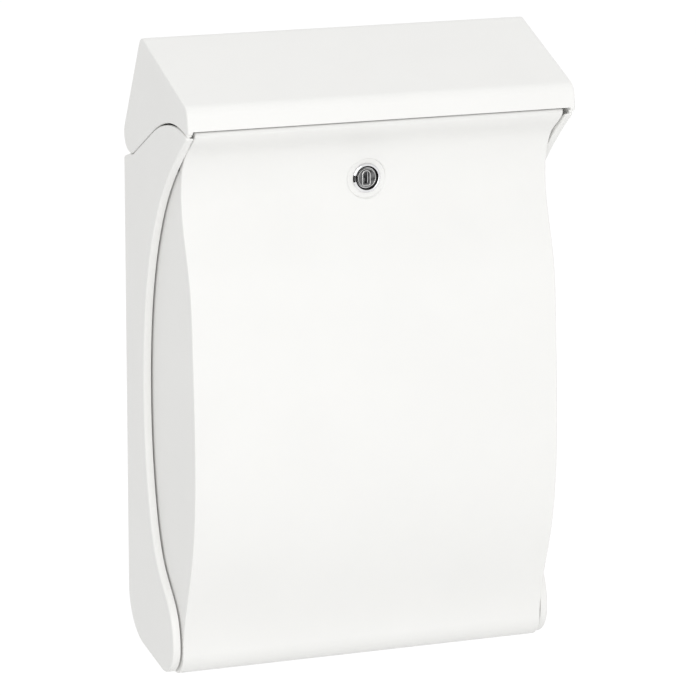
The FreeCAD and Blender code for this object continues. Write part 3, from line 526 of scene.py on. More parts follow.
@dataclass
class Tray:
    """A moulded tray: a curved band across the box between two flat cheeks.

    The side view outline is one closed loop, the band's run followed by the open mouth's
    run. Each row of the surface is that loop, or a part of it, at one X and with one inset:
    rows go round the outer edges, over the mouth's edge, down the inside and back across.
    Plain_depth is the depth of the mouth's edge where it has no rim, lines_before the number
    of grid lines before the ones that both faces share, and wall_root how far under a
    cheek's outer face the extras begin.
    """

    name: str
    half: float
    side_wall: float
    band_wall: float
    edge_round: float = 1.2
    mouth_round: float = 0.5
    plain_depth: float = 1.1
    step_in: float = 0.2
    inner_fillet: float = 0.5
    settle: float = 0.25
    plain_lines: int = 9
    line_gap: float = 0.3
    lines_before: int = 2
    wall_root: float = 1.5

    def band_run(self) -> Array:
        """Side view points of the band's outer face."""
        raise NotImplementedError

    def mouth_run(self) -> Array:
        """Side view points of the cheek's free edge, from the band's end back to its start."""
        raise NotImplementedError

    def windows(self) -> tuple[Window, ...]:
        """Round holes through the band."""
        return ()

    def mouth_lines(self, mouth: Array) -> tuple[Array, Array]:
        """Distance of the mouth's inner edge from the middle and depth of its rim, per point."""
        across = np.full(len(mouth), self.half - self.side_wall)
        return across, np.full(len(mouth), self.plain_depth)

    def extras(self, shell: Shell) -> None:
        """Adds the bosses, ribs and brackets that are moulded on the tray."""

    def columns(self) -> Array:
        """X places of the band's grid lines, with each window's own lines among them.

        Returns:
            The places, from left to right.
        """
        inner = self.half - self.side_wall - self.inner_fillet - self.settle - 1.0
        lines = [np.linspace(-inner, inner, self.plain_lines)]
        for window in self.windows():
            start = window.across - window.half
            lines.append(np.linspace(start, start + 2.0 * window.half, window.cells + 1))
        merged = np.unique(np.round(np.concatenate(lines), 4))
        return merged[np.concatenate(([True], np.diff(merged) > self.line_gap))]

    def build(self) -> bpy.types.Object:
        """Builds the tray's closed surface with its windows and extras.

        Returns:
            The finished mesh object.
        """
        shell = Shell()
        band = self.band_run()
        loop = joined(band, self.mouth_run())
        if math.dist(loop[-1], loop[0]) < SAME_PLACE:
            loop = loop[:-1]
        last = len(band) - 1
        offset = inward(loop)
        free = room(loop, offset)

        def inset(depth: float | Array, index: Array | slice = slice(None)) -> Array:
            """Loop points moved inwards, but never past the middle of a narrow place.

            Points that end up nearer to the loop than they moved belong to a corner that is
            rounder than the inset allows, and slide together between their neighbours.

            Args:
                depth: how far they move, for all or for each.
                index: which points; all of them unless it is given.

            Returns:
                The points, one row each.
            """
            nearly, slack = 0.97, 0.002
            reach = np.minimum(depth, free[index])
            points = loop[index] + offset[index] * reach[:, None]
            good = clearance(points, loop) > nearly * reach - slack
            order = np.arange(len(points))
            return np.column_stack([np.interp(order, order[good], line[good]) for line in points.T])

        mouth = np.concatenate((np.arange(last, len(loop)), [0]))
        ribbon = np.arange(last + 1)
        rim_across, rim_depth = self.mouth_lines(loop[mouth])
        inner = self.half - self.side_wall
        fillet = self.inner_fillet
        edges: dict[int, Array] = {}
        lips: dict[int, list[Array]] = {}
        backs: dict[int, list[Array]] = {}
        for side in (-1, 1):
            rows = [shell.section(side * self.half, inset(self.edge_round + self.settle))]
            for near, far in quarter(4):
                across = side * (self.half - self.edge_round * near)
                rows.append(shell.section(across, inset(self.edge_round * far)))
            shell.strips(rows, closed=True)
            shell.caps(rows[0])
            edges[side] = rows[-1][ribbon]

            lip = [rows[-1][mouth]]
            for near, far in quarter(3):
                across = side * (rim_across + self.mouth_round * far)
                lip.append(shell.section(across, inset(self.mouth_round * near, mouth)))
            lip.append(shell.section(side * rim_across, inset(rim_depth, mouth)))
            lip.append(shell.section(side * inner, inset(rim_depth + self.step_in, mouth)))
            shell.strips(lip)
            lips[side] = lip[1:]

            settled = self.band_wall + fillet + self.settle
            rows = [shell.section(side * inner, inset(settled, ribbon))]
            for near, far in quarter(3):
                across = side * (inner - fillet * near)
                rows.append(shell.section(across, inset(self.band_wall + fillet * far, ribbon)))
            shell.strips(rows)
            backs[side] = rows[1:]
            shell.caps(np.concatenate((lip[-1], rows[1][:1], rows[0], rows[1][-1:])))

        columns = self.columns()
        grids = []
        for start, stop, limit, points in (
            (edges[-1], edges[1], self.half - self.edge_round - self.settle, loop[ribbon]),
            (backs[-1][-1], backs[1][-1], inner - fillet - self.settle, inset(self.band_wall, ribbon)),
        ):
            lines = np.concatenate(([-limit], columns, [limit]))
            grids.append(np.array([start, *(shell.section(x, points) for x in lines), stop]))
        self.band_faces(shell, loop[ribbon], offset[ribbon], columns, *grids)

        outer, back = grids
        for end, lip_end in ((0, -1), (last, 0)):
            left, right = (
                [row[lip_end] for row in lips[side]] + [row[end] for row in backs[side]]
                for side in (-1, 1)
            )
            shell.caps([*outer[:, end], *right, *back[1:-1, end][::-1], *left[::-1]])
        self.extras(shell)
        return shell.mesh(self.name)

    def band_faces(
        self, shell: Shell, band: Array, offset: Array, columns: Array, outer: Array, back: Array
    ) -> None:
        """Fills the band's outer and inner grids, with a round patch at each window.

        A ring's point lies at the ring's radius in the direction of a point on the patch's
        border, seen from the window's middle, with X and the length along the band as the
        two directions, and is then set in along the band's normal.

        Args:
            shell: the shell that takes the faces.
            band: side view points of the band.
            offset: their inset directions.
            columns: X places that both grids share.
            outer: point numbers of the outer grid, one row for each X.
            back: point numbers of the inner grid, one row for each X.
        """
        kept = np.ones((len(outer) - 1, len(band) - 1), bool)
        along = np.concatenate(([0.0], np.cumsum(np.hypot(*np.diff(band, axis=0).T))))
        heading = 1.0 if band[-1, 1] > band[0, 1] else -1.0
        for window in self.windows():
            middle = along[np.argmin(np.hypot(*(band - window.place).T))]
            ends = np.array([[-window.half], [window.half]])
            low, high = np.argmin(np.abs(along - middle - ends), axis=1)
            first, last = np.argmin(np.abs(columns - window.across - ends), axis=1) + self.lines_before
            kept[first:last, low:high] = False
            lines, points = self.border(first, last, low, high)
            sideways = columns[lines - self.lines_before] - window.across
            turn = np.arctan2(along[points] - middle, sideways)
            rows = [outer[lines, points]]
            for ring in window.rings:
                x = window.across + np.clip(ring.radius * np.cos(turn), -ring.flats, ring.flats)
                upward = ring.radius * np.sin(turn)
                if ring.depth is None:
                    inset = band + offset * ring.inset
                    y, z = (np.interp(middle + upward, along, line) for line in inset.T)
                else:
                    y = np.full(len(turn), ring.depth)
                    z = window.place[1] + heading * upward
                rows.append(shell.add(x, y, z))
            shell.strips([*rows, back[lines, points]], closed=True)
        for grid in (outer, back):
            shell.strips(grid, kept=kept)

    @staticmethod
    def border(first: int, last: int, low: int, high: int) -> tuple[Array, Array]:
        """Line and point numbers round the edge of a patch, in order and without repeats.

        Args:
            first: line where the patch begins.
            last: line where it ends.
            low: point of each line where it begins.
            high: point where it ends.

        Returns:
            The line numbers, and the point numbers.
        """
        across, along = np.arange(first, last), np.arange(low, high)
        lines = (across, [last] * len(along), across[::-1] + 1, [first] * len(along))
        points = ([low] * len(across), along, [high] * len(across), along[::-1] + 1)
        return np.concatenate(lines), np.concatenate(points)


@dataclass
class Housing(Tray):
    """Rear housing: back wall, floor and cheeks with their broad rims.

    Floor_fade says where along Y the rim's depth gives way to the floor's, and over which
    length. Ledge is front, back, underside and top. A patch is half its width and its cells.
    """

    name: str = "housing_moulding"
    half: float = SIZES.half
    side_wall: float = SIZES.wall
    band_wall: float = SIZES.wall
    front_round: float = 19.5
    front_round_depth: float = 67.0
    back_round: float = 35.0
    floor_slope: float = 11.6
    floor_start: float = -55.0
    floor_fade: Pair = (-66.0, 8.0)
    floor_deep: float = SIZES.wall - 0.6
    foot_line: float = 40.0
    notch_slope: float = 2.25
    notch_round: float = 1.8
    rim_deep: float = 6.0
    rim_taper: float = 14.0
    tip_round: float = 1.5
    corner_way: Pair = (1.0, -0.2)
    screw_across: float = 90.0
    screw_heights: Pair = (70.0, 290.0)
    screw_radius: float = 2.75
    screw_patch: tuple[float, int] = (10.0, 12)
    pad_radius: float = 8.0
    pad_high: float = 2.0
    drain_across: float = 75.0
    drain_depth: float = -44.5
    drain_radius: float = 3.0
    drain_patch: tuple[float, int] = (4.4, 10)
    ear_across: Pair = (124.8, 128.8)
    ear_depth: Pair = (-24.0, -13.0)
    ear_drop: float = 17.0
    ear_foot: float = 15.4
    ear_head: float = 8.0
    ear_end_angle: float = -97.2
    ledge: tuple[float, float, float, float] = (-85.0, -72.0, 337.0, 351.0)
    ledge_inner: float = 113.5
    boss_radius: float = 8.0
    boss_root: float = 2.0
    pin_radius: float = 2.5

    @staticmethod
    def rim_run() -> Array:
        """Front edge of a cheek, from its top corner down to the round at its foot.

        Returns:
            The points, one row each.
        """
        places = [
            SIZES.rim_top, (-70.7, 312.3), (-46.4, 265.0), (-34.1, 182.0),
            (-42.8, 104.0), (-60.0, 65.0), (-80.5, 42.3), (-86.5, 19.5),
        ]
        return smooth_run(places, (1.0, -0.8), (0.0, -1.0), 2.5)

    def floor_points(self) -> tuple[Array, Array, Array]:
        """Start and end of the floor's underside and the centre of the back's round.

        Returns:
            The three points.
        """
        slope = math.radians(self.floor_slope)
        reach = self.front_round_depth - self.back_round
        rise = (reach * math.sin(slope) + self.back_round - self.front_round) / math.cos(slope)
        back = np.array([-self.back_round, self.front_round + rise])
        front = np.array([-self.front_round_depth, self.front_round])
        down = np.array([math.sin(slope), -math.cos(slope)])
        return front + down * self.front_round, back + down * self.back_round, back

    def under_floor(self, depth: float) -> Place:
        """Point of the floor's underside at a Y.

        Args:
            depth: the Y.

        Returns:
            The point.
        """
        start, end, _ = self.floor_points()
        share = (depth - start[0]) / (end[0] - start[0])
        return (depth, start[1] + share * (end[1] - start[1]))

    def band_run(self) -> Array:
        """Floor, back round, back wall, notch and the hollow under the lid's barrel.

        Returns:
            The points, one row each.
        """
        _, end, back = self.floor_points()
        floor = straight_run(self.under_floor(self.floor_start), end, 1.25)
        turn = arc_run(back, self.back_round, self.floor_slope - 90.0, 0.0, 4.0)
        seam = seam_run()
        notch = (0.0, seam[0, 1] - SIZES.seam - self.notch_slope)
        wall = straight_run(turn[-1], notch, 2.0)
        slope = straight_run(notch, seam[0], 2.0)
        return joined(floor, turn, filleted(wall, slope, self.notch_round), seam)

    def mouth_run(self) -> Array:
        """Arched top edge, front rim, round foot and the floor's side edge.

        Returns:
            The points, one row each.
        """
        arch = shoulder_run(0.0, 0.0)
        foot_centre = (-self.front_round_depth, self.front_round)
        foot = arc_run(foot_centre, self.front_round, -180.0, self.floor_slope - 90.0, 5.0)
        return joined(
            straight_run(seam_run()[-1], arch[0]),
            filleted(arch, self.rim_run(), self.tip_round),
            foot,
            straight_run(self.floor_points()[0], self.under_floor(self.floor_start)),
        )

    def mouth_lines(self, mouth: Array) -> tuple[Array, Array]:
        """Rim width and depth: full along the front edge, and tapering out at its top corner.

        Args:
            mouth: points of the mouth's run.

        Returns:
            Distance of the rim's inner edge from the middle, and the rim's depth.
        """
        front = np.arange(len(mouth)) >= np.argmin(mouth @ self.corner_way)
        across = self.half - np.where(front, SIZES.rim_width, self.side_wall)
        reach = np.clip(np.abs(SIZES.rim_top[1] - mouth[:, 1]) / self.rim_taper, 0.0, 1.0)
        depth = self.plain_depth + (self.rim_deep - self.plain_depth) * reach * front
        start, length = self.floor_fade
        end = np.clip((mouth[:, 0] - start) / length, 0.0, 1.0) * (mouth[:, 1] < self.foot_line)
        return across, depth * (1.0 - end) + self.floor_deep * end

    def windows(self) -> tuple[Window, ...]:
        """Four wall screw holes in thick pads, and two drain holes in the floor.

        Returns:
            The windows, side by side.
        """
        wall = self.band_wall
        pad = wall + self.pad_high
        screw = rings_at(
            self.screw_radius, (1.4, 0.0), (0.35, 0.0), (0.1, 0.08), (0.0, 0.35),
            (0.0, pad - 0.3), (0.3, pad),
        ) + rings_at(
            self.pad_radius, (-1.0, pad), (-0.4, pad), (0.0, pad - 0.4), (0.0, wall + 0.3), (0.4, wall)
        )
        drain = rings_at(
            self.drain_radius, (0.5, 0.0), (0.2, 0.0), (0.0, 0.2), (0.0, wall - 0.2), (0.2, wall)
        )
        found = []
        for side in SIDES:
            for height in self.screw_heights:
                found.append(Window(side * self.screw_across, (0.0, height), *self.screw_patch, screw))
            place = self.under_floor(self.drain_depth)
            found.append(Window(side * self.drain_across, place, *self.drain_patch, drain))
        return tuple(found)

    def extras(self, shell: Shell) -> None:
        """Hinge ears, ledges for the strike rail and bosses round the door's pins.

        Args:
            shell: the shell that takes the faces.
        """
        pivot = SIZES.lid_pivot
        foot = seam_run()[-1, 1] - SIZES.seam - self.ear_drop
        front, back = self.ear_depth
        ear = joined(
            straight_run((back, foot), (front, foot)),
            straight_run((front, foot), (front, pivot[1] - 1.0)),
            straight_run((front + 1.0, pivot[1]), (pivot[0] - self.ear_head - 0.2, pivot[1])),
            arc_run(pivot, self.ear_head, 180.0, self.ear_end_angle, 8.0),
        )
        top = foot + self.ear_foot
        base = [(front, foot), (back, foot), (back, top), (front, top)]
        front, back, under, top = self.ledge
        ledge = [(front, under), (back, under), (back, top), (front, top)]
        wide, pin = self.boss_radius, self.pin_radius
        reach = self.half - SIZES.rim_width
        for side in SIDES:
            wall, root = side * (self.half - self.wall_root), side * (self.half - self.boss_root)
            prism(shell, ear, side * self.ear_across[0], side * self.ear_across[1])
            prism(shell, base, side * (self.ear_across[0] + 0.5), wall)
            prism(shell, ledge, side * self.ledge_inner, wall, 0.6)
            boss = [(pin, root), (pin, side * (reach + 0.2)), (pin + 0.3, side * reach),
                    (wide - 0.4, side * reach), (wide, side * (reach + 0.4)), (wide, root)]
            turned_piece(shell, boss, Axis.ACROSS, SIZES.door_pivot)


@dataclass
class Lid(Tray):
    """Sloping lid: lip, roof, leaning back and barrel between two end cheeks."""

    name: str = "lid_moulding"
    half: float = SIZES.half
    side_wall: float = 3.4
    band_wall: float = SIZES.wall
    lip_foot: Place = (-121.5, 362.2)
    fold: Place = (-119.7, 376.2)
    roof_slope: float = 22.6
    fold_round: float = 9.0
    ridge_round: float = 7.0
    barrel_end: float = -60.0
    tip_foot: float = 360.0
    tip_round: float = 1.7
    arch_open: float = 1.3
    lug_across: Pair = (118.8, 124.5)
    lug_radius: float = 10.0
    pin_radius: float = 2.05
    rib_across: Pair = (62.0, 64.4)
    rib_depth: Pair = (-81.7, -71.0)
    rib_foot: float = 354.3

    def ridge(self) -> Place:
        """Where the roof's line meets the leaning back's line.

        Returns:
            The point.
        """
        lean = math.radians(SIZES.lid_lean)
        roof = math.radians(self.roof_slope)
        normal = np.array([math.cos(lean), math.sin(lean)])
        back = np.array(SIZES.lid_pivot) + SIZES.lid_barrel * normal
        ways = np.array([[math.cos(roof), math.sin(lean)], [math.sin(roof), -math.cos(lean)]])
        along = np.linalg.solve(ways, back - self.fold)[0]
        return self.fold + along * ways[:, 0]

    def band_run(self) -> Array:
        """Lip, fold, roof, ridge, leaning back and the round of the hinge barrel.

        Returns:
            The points, one row each.
        """
        ridge = self.ridge()
        barrel = arc_run(SIZES.lid_pivot, SIZES.lid_barrel, SIZES.lid_lean, self.barrel_end, 5.0)
        lip = straight_run(self.lip_foot, self.fold, 1.0)
        front = filleted(lip, straight_run(self.fold, ridge, 3.0), self.fold_round)
        back = straight_run(ridge, barrel[0], 3.0)
        return joined(filleted(front, back, self.ridge_round), barrel)

    def mouth_run(self) -> Array:
        """Rest of the barrel, the arch over the housing's cheek and the front tip.

        Returns:
            The points, one row each.
        """
        last = -90.0 - SIZES.lid_lean
        under = arc_run(SIZES.lid_pivot, SIZES.lid_barrel, self.barrel_end, last, 5.0)
        arch = shoulder_run(SIZES.seam, self.arch_open)
        tip = (self.lip_foot[0] + self.tip_round, self.tip_foot + self.tip_round)
        nose = arc_run(tip, self.tip_round, -60.0, -180.0, 12.0)
        return joined(
            under,
            straight_run(under[-1], arch[0]),
            arch,
            nose,
            straight_run(nose[-1], self.lip_foot, 1.0),
        )

    def extras(self, shell: Shell) -> None:
        """Hinge lugs inside the barrel and two ribs under the roof.

        Args:
            shell: the shell that takes the faces.
        """
        slope = math.tan(math.radians(self.roof_slope))
        front, back = self.rib_depth
        roof = [self.fold[1] - 2.0 + (depth - self.fold[0]) * slope for depth in self.rib_depth]
        rib = [(front, self.rib_foot), (back, self.rib_foot), (back, roof[1]), (front, roof[0])]
        low, high = self.lug_across
        wide, pin = self.lug_radius, self.pin_radius
        for side in SIDES:
            lug = [(pin, side * low), (pin, side * high), (wide - 0.4, side * high),
                   (wide, side * (high - 0.4)), (wide, side * (low + 0.4)), (wide - 0.4, side * low)]
            turned_piece(shell, lug, Axis.ACROSS, SIZES.lid_pivot)
            prism(shell, rib, side * self.rib_across[0], side * self.rib_across[1])


@dataclass
class Door(Tray):
    """Front door: top flange, flared neck, bulging face and hinge barrel.

    Rib_deep says how far inside the outer face the ribs begin and end. Barrel angles are in
    degrees, and lock_window is half its patch and the patch's cells.
    """

    name: str = "door_moulding"
    half: float = SIZES.half - SIZES.rim_width - SIZES.door_gap
    side_wall: float = SIZES.wall
    band_wall: float = SIZES.wall
    edge_round: float = 0.9
    inner_fillet: float = 0.3
    settle: float = 0.2
    rim_depth: float = 116.5
    rim_high: float = 3.2
    rim_round: float = 1.3
    flange: float = 16.5
    tuck: float = 9.0
    barrel_end: float = 300.0
    barrel_back: float = 420.0
    side_foot: float = 65.0
    side_top: Place = (-87.5, 333.0)
    side_shoulder: Place = (-87.5, 352.75)
    recess_radius: float = 13.4
    seat_radius: float = 14.5
    seat_rear: float = -86.4
    lock_window: tuple[float, int] = (17.0, 26)
    lock_depth: float = -90.6
    hole_radius: float = 8.1
    hole_flats: float = 7.1
    boss_radius: float = 6.5
    boss_long: float = 10.0
    pin_radius: float = 2.55
    rib_across: Pair = (62.0, 64.0)
    rib_heights: Pair = (32.0, 303.0)
    rib_deep: Pair = (1.5, 9.0)

    def face_run(self) -> Array:
        """The S-shaped front face from its top rim to the barrel.

        Returns:
            The points, one row each.
        """
        places = [
            (-116.5, 357.8), (-99.8, 344.0), (-90.6, 320.0), (-104.8, 261.0),
            (-109.2, 224.0), (-112.6, 157.0), (-103.8, 74.0), (-88.0, 15.0),
        ]
        return smooth_run(places, (0.6, -0.8), (0.0, -1.0), 1.4)

    def band_run(self) -> Array:
        """Top flange, upright rim, face and barrel.

        Returns:
            The points, one row each.
        """
        top, front = SIZES.top_line, -self.rim_depth
        flange = straight_run((front + self.flange, top), (front, top), 2.0)
        rim = straight_run((front, top), (front, top - self.rim_high), 0.5)
        face = filleted(filleted(flange, rim, self.rim_round), self.face_run(), self.rim_round)
        barrel = arc_run(SIZES.door_pivot, SIZES.door_barrel, 180.0, self.barrel_end, 5.0)
        return joined(face, barrel)

    def mouth_run(self) -> Array:
        """Barrel's rear, then the side wall's rear edge up to the flange.

        Returns:
            The points, one row each.
        """
        barrel = arc_run(
            SIZES.door_pivot, SIZES.door_barrel, self.barrel_end, self.barrel_back, 5.0
        )
        rim = Housing.rim_run() + (self.tuck, 0.0)
        rear = rim[(rim[:, 1] < self.side_top[1] - 3.0) & (rim[:, 1] > self.side_foot)][::-1]
        return joined(
            barrel,
            straight_run(barrel[-1], rear[0]),
            rear,
            straight_run(rear[-1], self.side_top),
            straight_run(self.side_top, self.side_shoulder),
            straight_run(self.side_shoulder, (self.flange - self.rim_depth, SIZES.top_line)),
        )

    def windows(self) -> tuple[Window, ...]:
        """The lock's hole in its shallow dish.

        Returns:
            The one window.
        """
        dish = rings_at(self.recess_radius, (0.9, 0.0), (0.35, 0.0), (0.05, 0.12), (-0.25, 0.4))
        flat = [
            Ring(radius, depth=SIZES.seat_depth)
            for radius in (self.recess_radius - 0.55, self.recess_radius - 1.2, 9.0)
        ]
        hole = [
            Ring(self.hole_radius, depth=depth, flats=self.hole_flats)
            for depth in (SIZES.seat_depth, self.seat_rear)
        ]
        seat = [
            Ring(self.seat_radius - 0.5, depth=self.seat_rear),
            Ring(self.seat_radius, depth=self.seat_rear - 0.4),
        ]
        rear = rings_at(self.seat_radius, (0.0, self.band_wall + 0.2), (0.4, self.band_wall))
        rings = (*dish, *flat, *hole, *seat, *rear)
        return (Window(0.0, (self.lock_depth, SIZES.lock_height), *self.lock_window, rings),)

    def extras(self, shell: Shell) -> None:
        """Bosses round the hinge pins and two ribs down the inside of the face.

        Args:
            shell: the shell that takes the faces.
        """
        face = self.face_run()
        normal = inward(face, closed=False)
        low, high = self.rib_heights
        kept = (face[:, 1] > low) & (face[:, 1] < high)
        face, normal = face[kept], normal[kept]
        normal *= np.sign(normal[len(normal) // 2, 0])
        near, deep = self.rib_deep
        outline = np.vstack((face + normal * near, (face + normal * deep)[::-1]))
        wide, pin = self.boss_radius, self.pin_radius
        for side in SIDES:
            prism(shell, outline, side * self.rib_across[0], side * self.rib_across[1])
            root, end = side * (self.half - self.wall_root), side * (self.half - self.boss_long)
            boss = [(pin, end), (wide - 0.3, end), (wide, end + side * 0.3), (wide, root), (pin, root)]
            turned_piece(shell, boss, Axis.ACROSS, SIZES.door_pivot)


@dataclass
class StrikeRail:
    """Rail across the letter slot: a flat top with a hooked leg and a low rain lip."""

    name: str = "rail_moulding"
    top: float = 354.0
    thick: float = 3.0
    front: float = -97.0
    end_front: float = -86.0
    back: float = -71.0
    narrow: float = 121.1
    end: float = 129.2
    leg: float = 110.5
    leg_deep: float = 18.0
    lip_high: float = 2.5
    edge_round: float = 0.3

    def build(self) -> bpy.types.Object:
        """Builds the rail from its middle section and two plain ends.

        Returns:
            The finished mesh object.
        """
        shell = Shell()
        top, under = self.top, self.top - self.thick
        lip, lip_top = self.front + SIZES.wall, top + self.lip_high
        leg_front, leg_foot = self.back - SIZES.wall, under - self.leg_deep
        front = [(self.front, under), (self.front, lip_top), (lip, lip_top), (lip, top)]
        leg = [(self.back, top), (self.back, leg_foot), (leg_front, leg_foot), (leg_front, under)]
        step = [(self.end_front, under), (self.end_front, top)]
        plate = [*step, (self.back, top), (self.back, under)]
        prism(shell, front + leg, -self.leg, self.leg, self.edge_round)
        for side in SIDES:
            start, narrow = side * (self.leg - 0.8), side * self.narrow
            prism(shell, front + step[::-1], start, narrow, self.edge_round)
            prism(shell, plate, side * (self.leg - 0.9), side * self.end, self.edge_round)
        return shell.mesh(self.name)


@dataclass
class LockFront:
    """The lock's collar and threaded barrel, the plug that turns in it, its edges of painted highlight
    and its pieces of painted shade.

    Ward is the left side, foot and top of the keyway's ward, and the arch is the guard round
    the keyway. A span is an inner and an outer radius.
    """

    round_points: int = 96
    collar_radius: float = 9.5
    collar_high: float = 2.0
    cup_radius: float = 7.8
    cup_deep: float = 1.3
    bore: float = 6.45
    barrel_radius: float = 8.0
    barrel_flats: float = 7.0
    barrel_long: float = 19.0
    thread_pitch: float = 1.0
    thread_deep: float = 0.42
    thread_rows: int = 6
    notch_half: float = 2.2
    notch_deep: float = 1.0
    notch_radius: float = 8.6
    # Inner and outer radius of the black block of painted shade in the collar's notch
    notch_shade_span: Pair = (8.4, 9.42)
    plug_radius: float = 6.4
    plug_proud: float = 1.55
    face_edge: float = 0.75
    keyway_half: Pair = (1.2, 3.5)
    keyway_lip: float = 0.22
    keyway_deep: float = 6.0
    ward: Triple = (-2.1, 0.0, 2.0)
    arch_half: float = 2.84
    arch_reach: float = 4.98
    arch_aside: float = -0.35
    arch_corner: float = 1.1
    # Inner and outer radius of the bright ring of painted highlight round the plug
    rim_highlight_span: Pair = (5.8, 6.36)
    square_half: float = 3.0
    square_end: float = -67.9

    def row(self, shell: Shell, x: Array, depth: float | Array, up: Array) -> Array:
        """Adds points from X, Y and height over the lock's axis, and returns their numbers."""
        return shell.add(x, np.full(len(x), depth), up + SIZES.lock_height)

    def collar(self) -> bpy.types.Object:
        """Collar, cup and threaded barrel as one turned surface.

        Each point lies at a radius and a Y that are functions of the angle and of the place
        along the profile. The barrel's radius is lessened by a triangle wave of Y over the
        pitch minus the share of a turn, and its X is held within the flats. Inside the
        notch's angles the collar's front is pushed back to the notch's floor.

        Returns:
            The finished mesh object.
        """
        shell = Shell()
        seat, rim, cup_wall = SIZES.seat_depth, self.collar_radius, self.cup_radius
        front = seat - self.collar_high
        cup, end = front + self.cup_deep, seat + self.barrel_long
        head = [
            (self.bore, end), (self.bore, cup), (cup_wall - 0.1, cup), (cup_wall, cup - 0.1),
            (cup_wall, front + 0.2), (cup_wall + 0.06, front + 0.06), (cup_wall + 0.2, front),
            (rim - 0.8, front + 0.02), (rim - 0.4, front + 0.12), (rim - 0.14, front + 0.3),
            (rim, front + 0.62), (rim, seat), (self.barrel_radius + 0.05, seat),
        ]
        edge = math.degrees(math.asin(self.notch_half / self.notch_radius))
        notch_turns = [180.0 - edge, 179.6 - edge, edge - 180.0, edge - 179.6]
        turn = np.linspace(-180.0, 180.0, self.round_points, endpoint=False)
        turn = np.radians(np.unique(np.concatenate((turn, notch_turns))))
        rows = []
        for radius, along in head:
            x, up = radius * np.cos(turn), radius * np.sin(turn)
            wide = self.notch_half * radius / self.notch_radius + 0.02
            notched = (np.abs(up) <= wide) & (x < 0.0) & (radius > cup_wall - 0.05)
            depth = np.where(notched, max(along, front + self.notch_deep), along)
            rows.append(self.row(shell, x, depth, up))

        def barrel_row(radius: float | Array, along: float) -> Array:
            """Adds a round whose X is held within the barrel's flats."""
            x = np.clip(radius * np.cos(turn), -self.barrel_flats, self.barrel_flats)
            return self.row(shell, x, along, radius * np.sin(turn))

        for along in np.arange(seat + 0.4, end - 0.3, self.thread_pitch / self.thread_rows):
            phase = (along / self.thread_pitch - turn / (2.0 * math.pi)) % 1.0
            sunk = self.thread_deep * (1.0 - np.abs(2.0 * phase - 1.0))
            rows.append(barrel_row(self.barrel_radius - sunk, along))
        rows.append(barrel_row(self.barrel_radius - 0.5, end))
        shell.strips(rows + rows[:1], closed=True)
        return shell.mesh("lock_collar")

    def shade_pieces(self) -> bpy.types.Object:
        """Black ring in the collar's cup and black block on the notch's floor: painted shade, where cup
        and notch are only in shade.

        Returns:
            The finished mesh object.
        """
        shell = Shell()
        front = SIZES.seat_depth - self.collar_high
        cup, floor = front + self.cup_deep, front + self.notch_deep
        low, high = self.bore + 0.3, self.cup_radius - 0.03
        # Black ring of painted shade round the bore, in the collar's cup
        ring = [(low, cup - 0.02), (low, cup - 0.5), (low + 0.2, cup - 0.75),
                (high - 0.25, cup - 0.95), (high, cup - 0.85), (high, cup - 0.02)]
        turned_piece(shell, ring, Axis.DEPTH, (0.0, SIZES.lock_height), self.round_points)
        edge = math.asin(self.notch_half / self.notch_radius) - 0.015
        turn = math.pi + np.linspace(-edge, edge, 9)
        # Black block of painted shade on the notch's floor
        low, high = self.notch_shade_span
        notch_shade = ((low, 0.02), (low, 0.68), (low + 0.1, 0.75),
                (high - 0.17, 0.66), (high, 0.45), (high, 0.02))
        rows = [
            self.row(shell, radius * np.cos(turn), floor - proud, radius * np.sin(turn))
            for radius, proud in notch_shade
        ]
        shell.strips(rows + rows[:1])
        shell.caps(*np.array(rows).T[[0, -1]])
        return shell.mesh("lock_painted_shade")

    def keyway(self, grow: float) -> Array:
        """Outline of the keyway, grown by a margin, as X and height about the lock's axis.

        Each side is cut into short steps.

        Args:
            grow: the margin.

        Returns:
            The closed outline, one row for each point.
        """
        wide, high = np.array(self.keyway_half) + grow
        left, low, top = np.array(self.ward) + (-grow, -grow, grow)
        corners = np.array([
            (wide, -high), (wide, high), (-wide, high), (-wide, top),
            (left, top), (left, low), (-wide, low), (-wide, -high),
        ])[:, None]
        share = np.linspace(0.0, 1.0, 8, endpoint=False)[:, None]
        return (corners + (np.roll(corners, -1, axis=0) - corners) * share).reshape(-1, 2)

    def arch(self, shrink: float) -> Array:
        """Outline of the guard round the keyway that carries painted highlight, as X and height about the
        lock's axis.

        Its top is a half circle and its bottom corners are rounded.

        Args:
            shrink: how far the outline moves inwards.

        Returns:
            The closed outline, one row for each point.
        """
        half, corner = self.arch_half - shrink, self.arch_corner - shrink
        foot = corner - self.arch_reach + shrink
        head = arc_run((0.0, self.arch_reach - self.arch_half), half, 0.0, 180.0, 12.0)
        left = arc_run((corner - half, foot), corner, 180.0, 270.0, 15.0)
        right = arc_run((half - corner, foot), corner, 270.0, 360.0, 15.0)
        return np.vstack((head, left, right)) + (self.arch_aside, 0.0)

    def highlight_edges(self) -> bpy.types.Object:
        """Plug's rim and the guard round the keyway in brighter metal: painted highlight.

        Returns:
            The finished mesh object.
        """
        shell = Shell()
        front = SIZES.seat_depth - self.plug_proud
        low, high = self.rim_highlight_span
        # Bright ring of painted highlight round the plug's rim
        ring = [(low, front + 0.5), (low, front - 0.02), (low + 0.1, front - 0.05),
                (high - 0.22, front - 0.02), (high, front + 0.26), (self.plug_radius + 0.01, front + 0.6)]
        turned_piece(shell, ring, Axis.DEPTH, (0.0, SIZES.lock_height), self.round_points)
        # Bright band of painted highlight round the keyway's guard
        rows = []
        edge = ((0.0, 0.3), (0.0, -0.01), (0.08, -0.06), (0.38, -0.06), (0.46, -0.01), (0.46, 0.3))
        for shrink, depth in edge:
            x, up = self.arch(shrink).T
            rows.append(self.row(shell, x, front + depth, up))
        shell.strips(rows + rows[:1], closed=True)
        return shell.mesh("lock_highlight_edges")

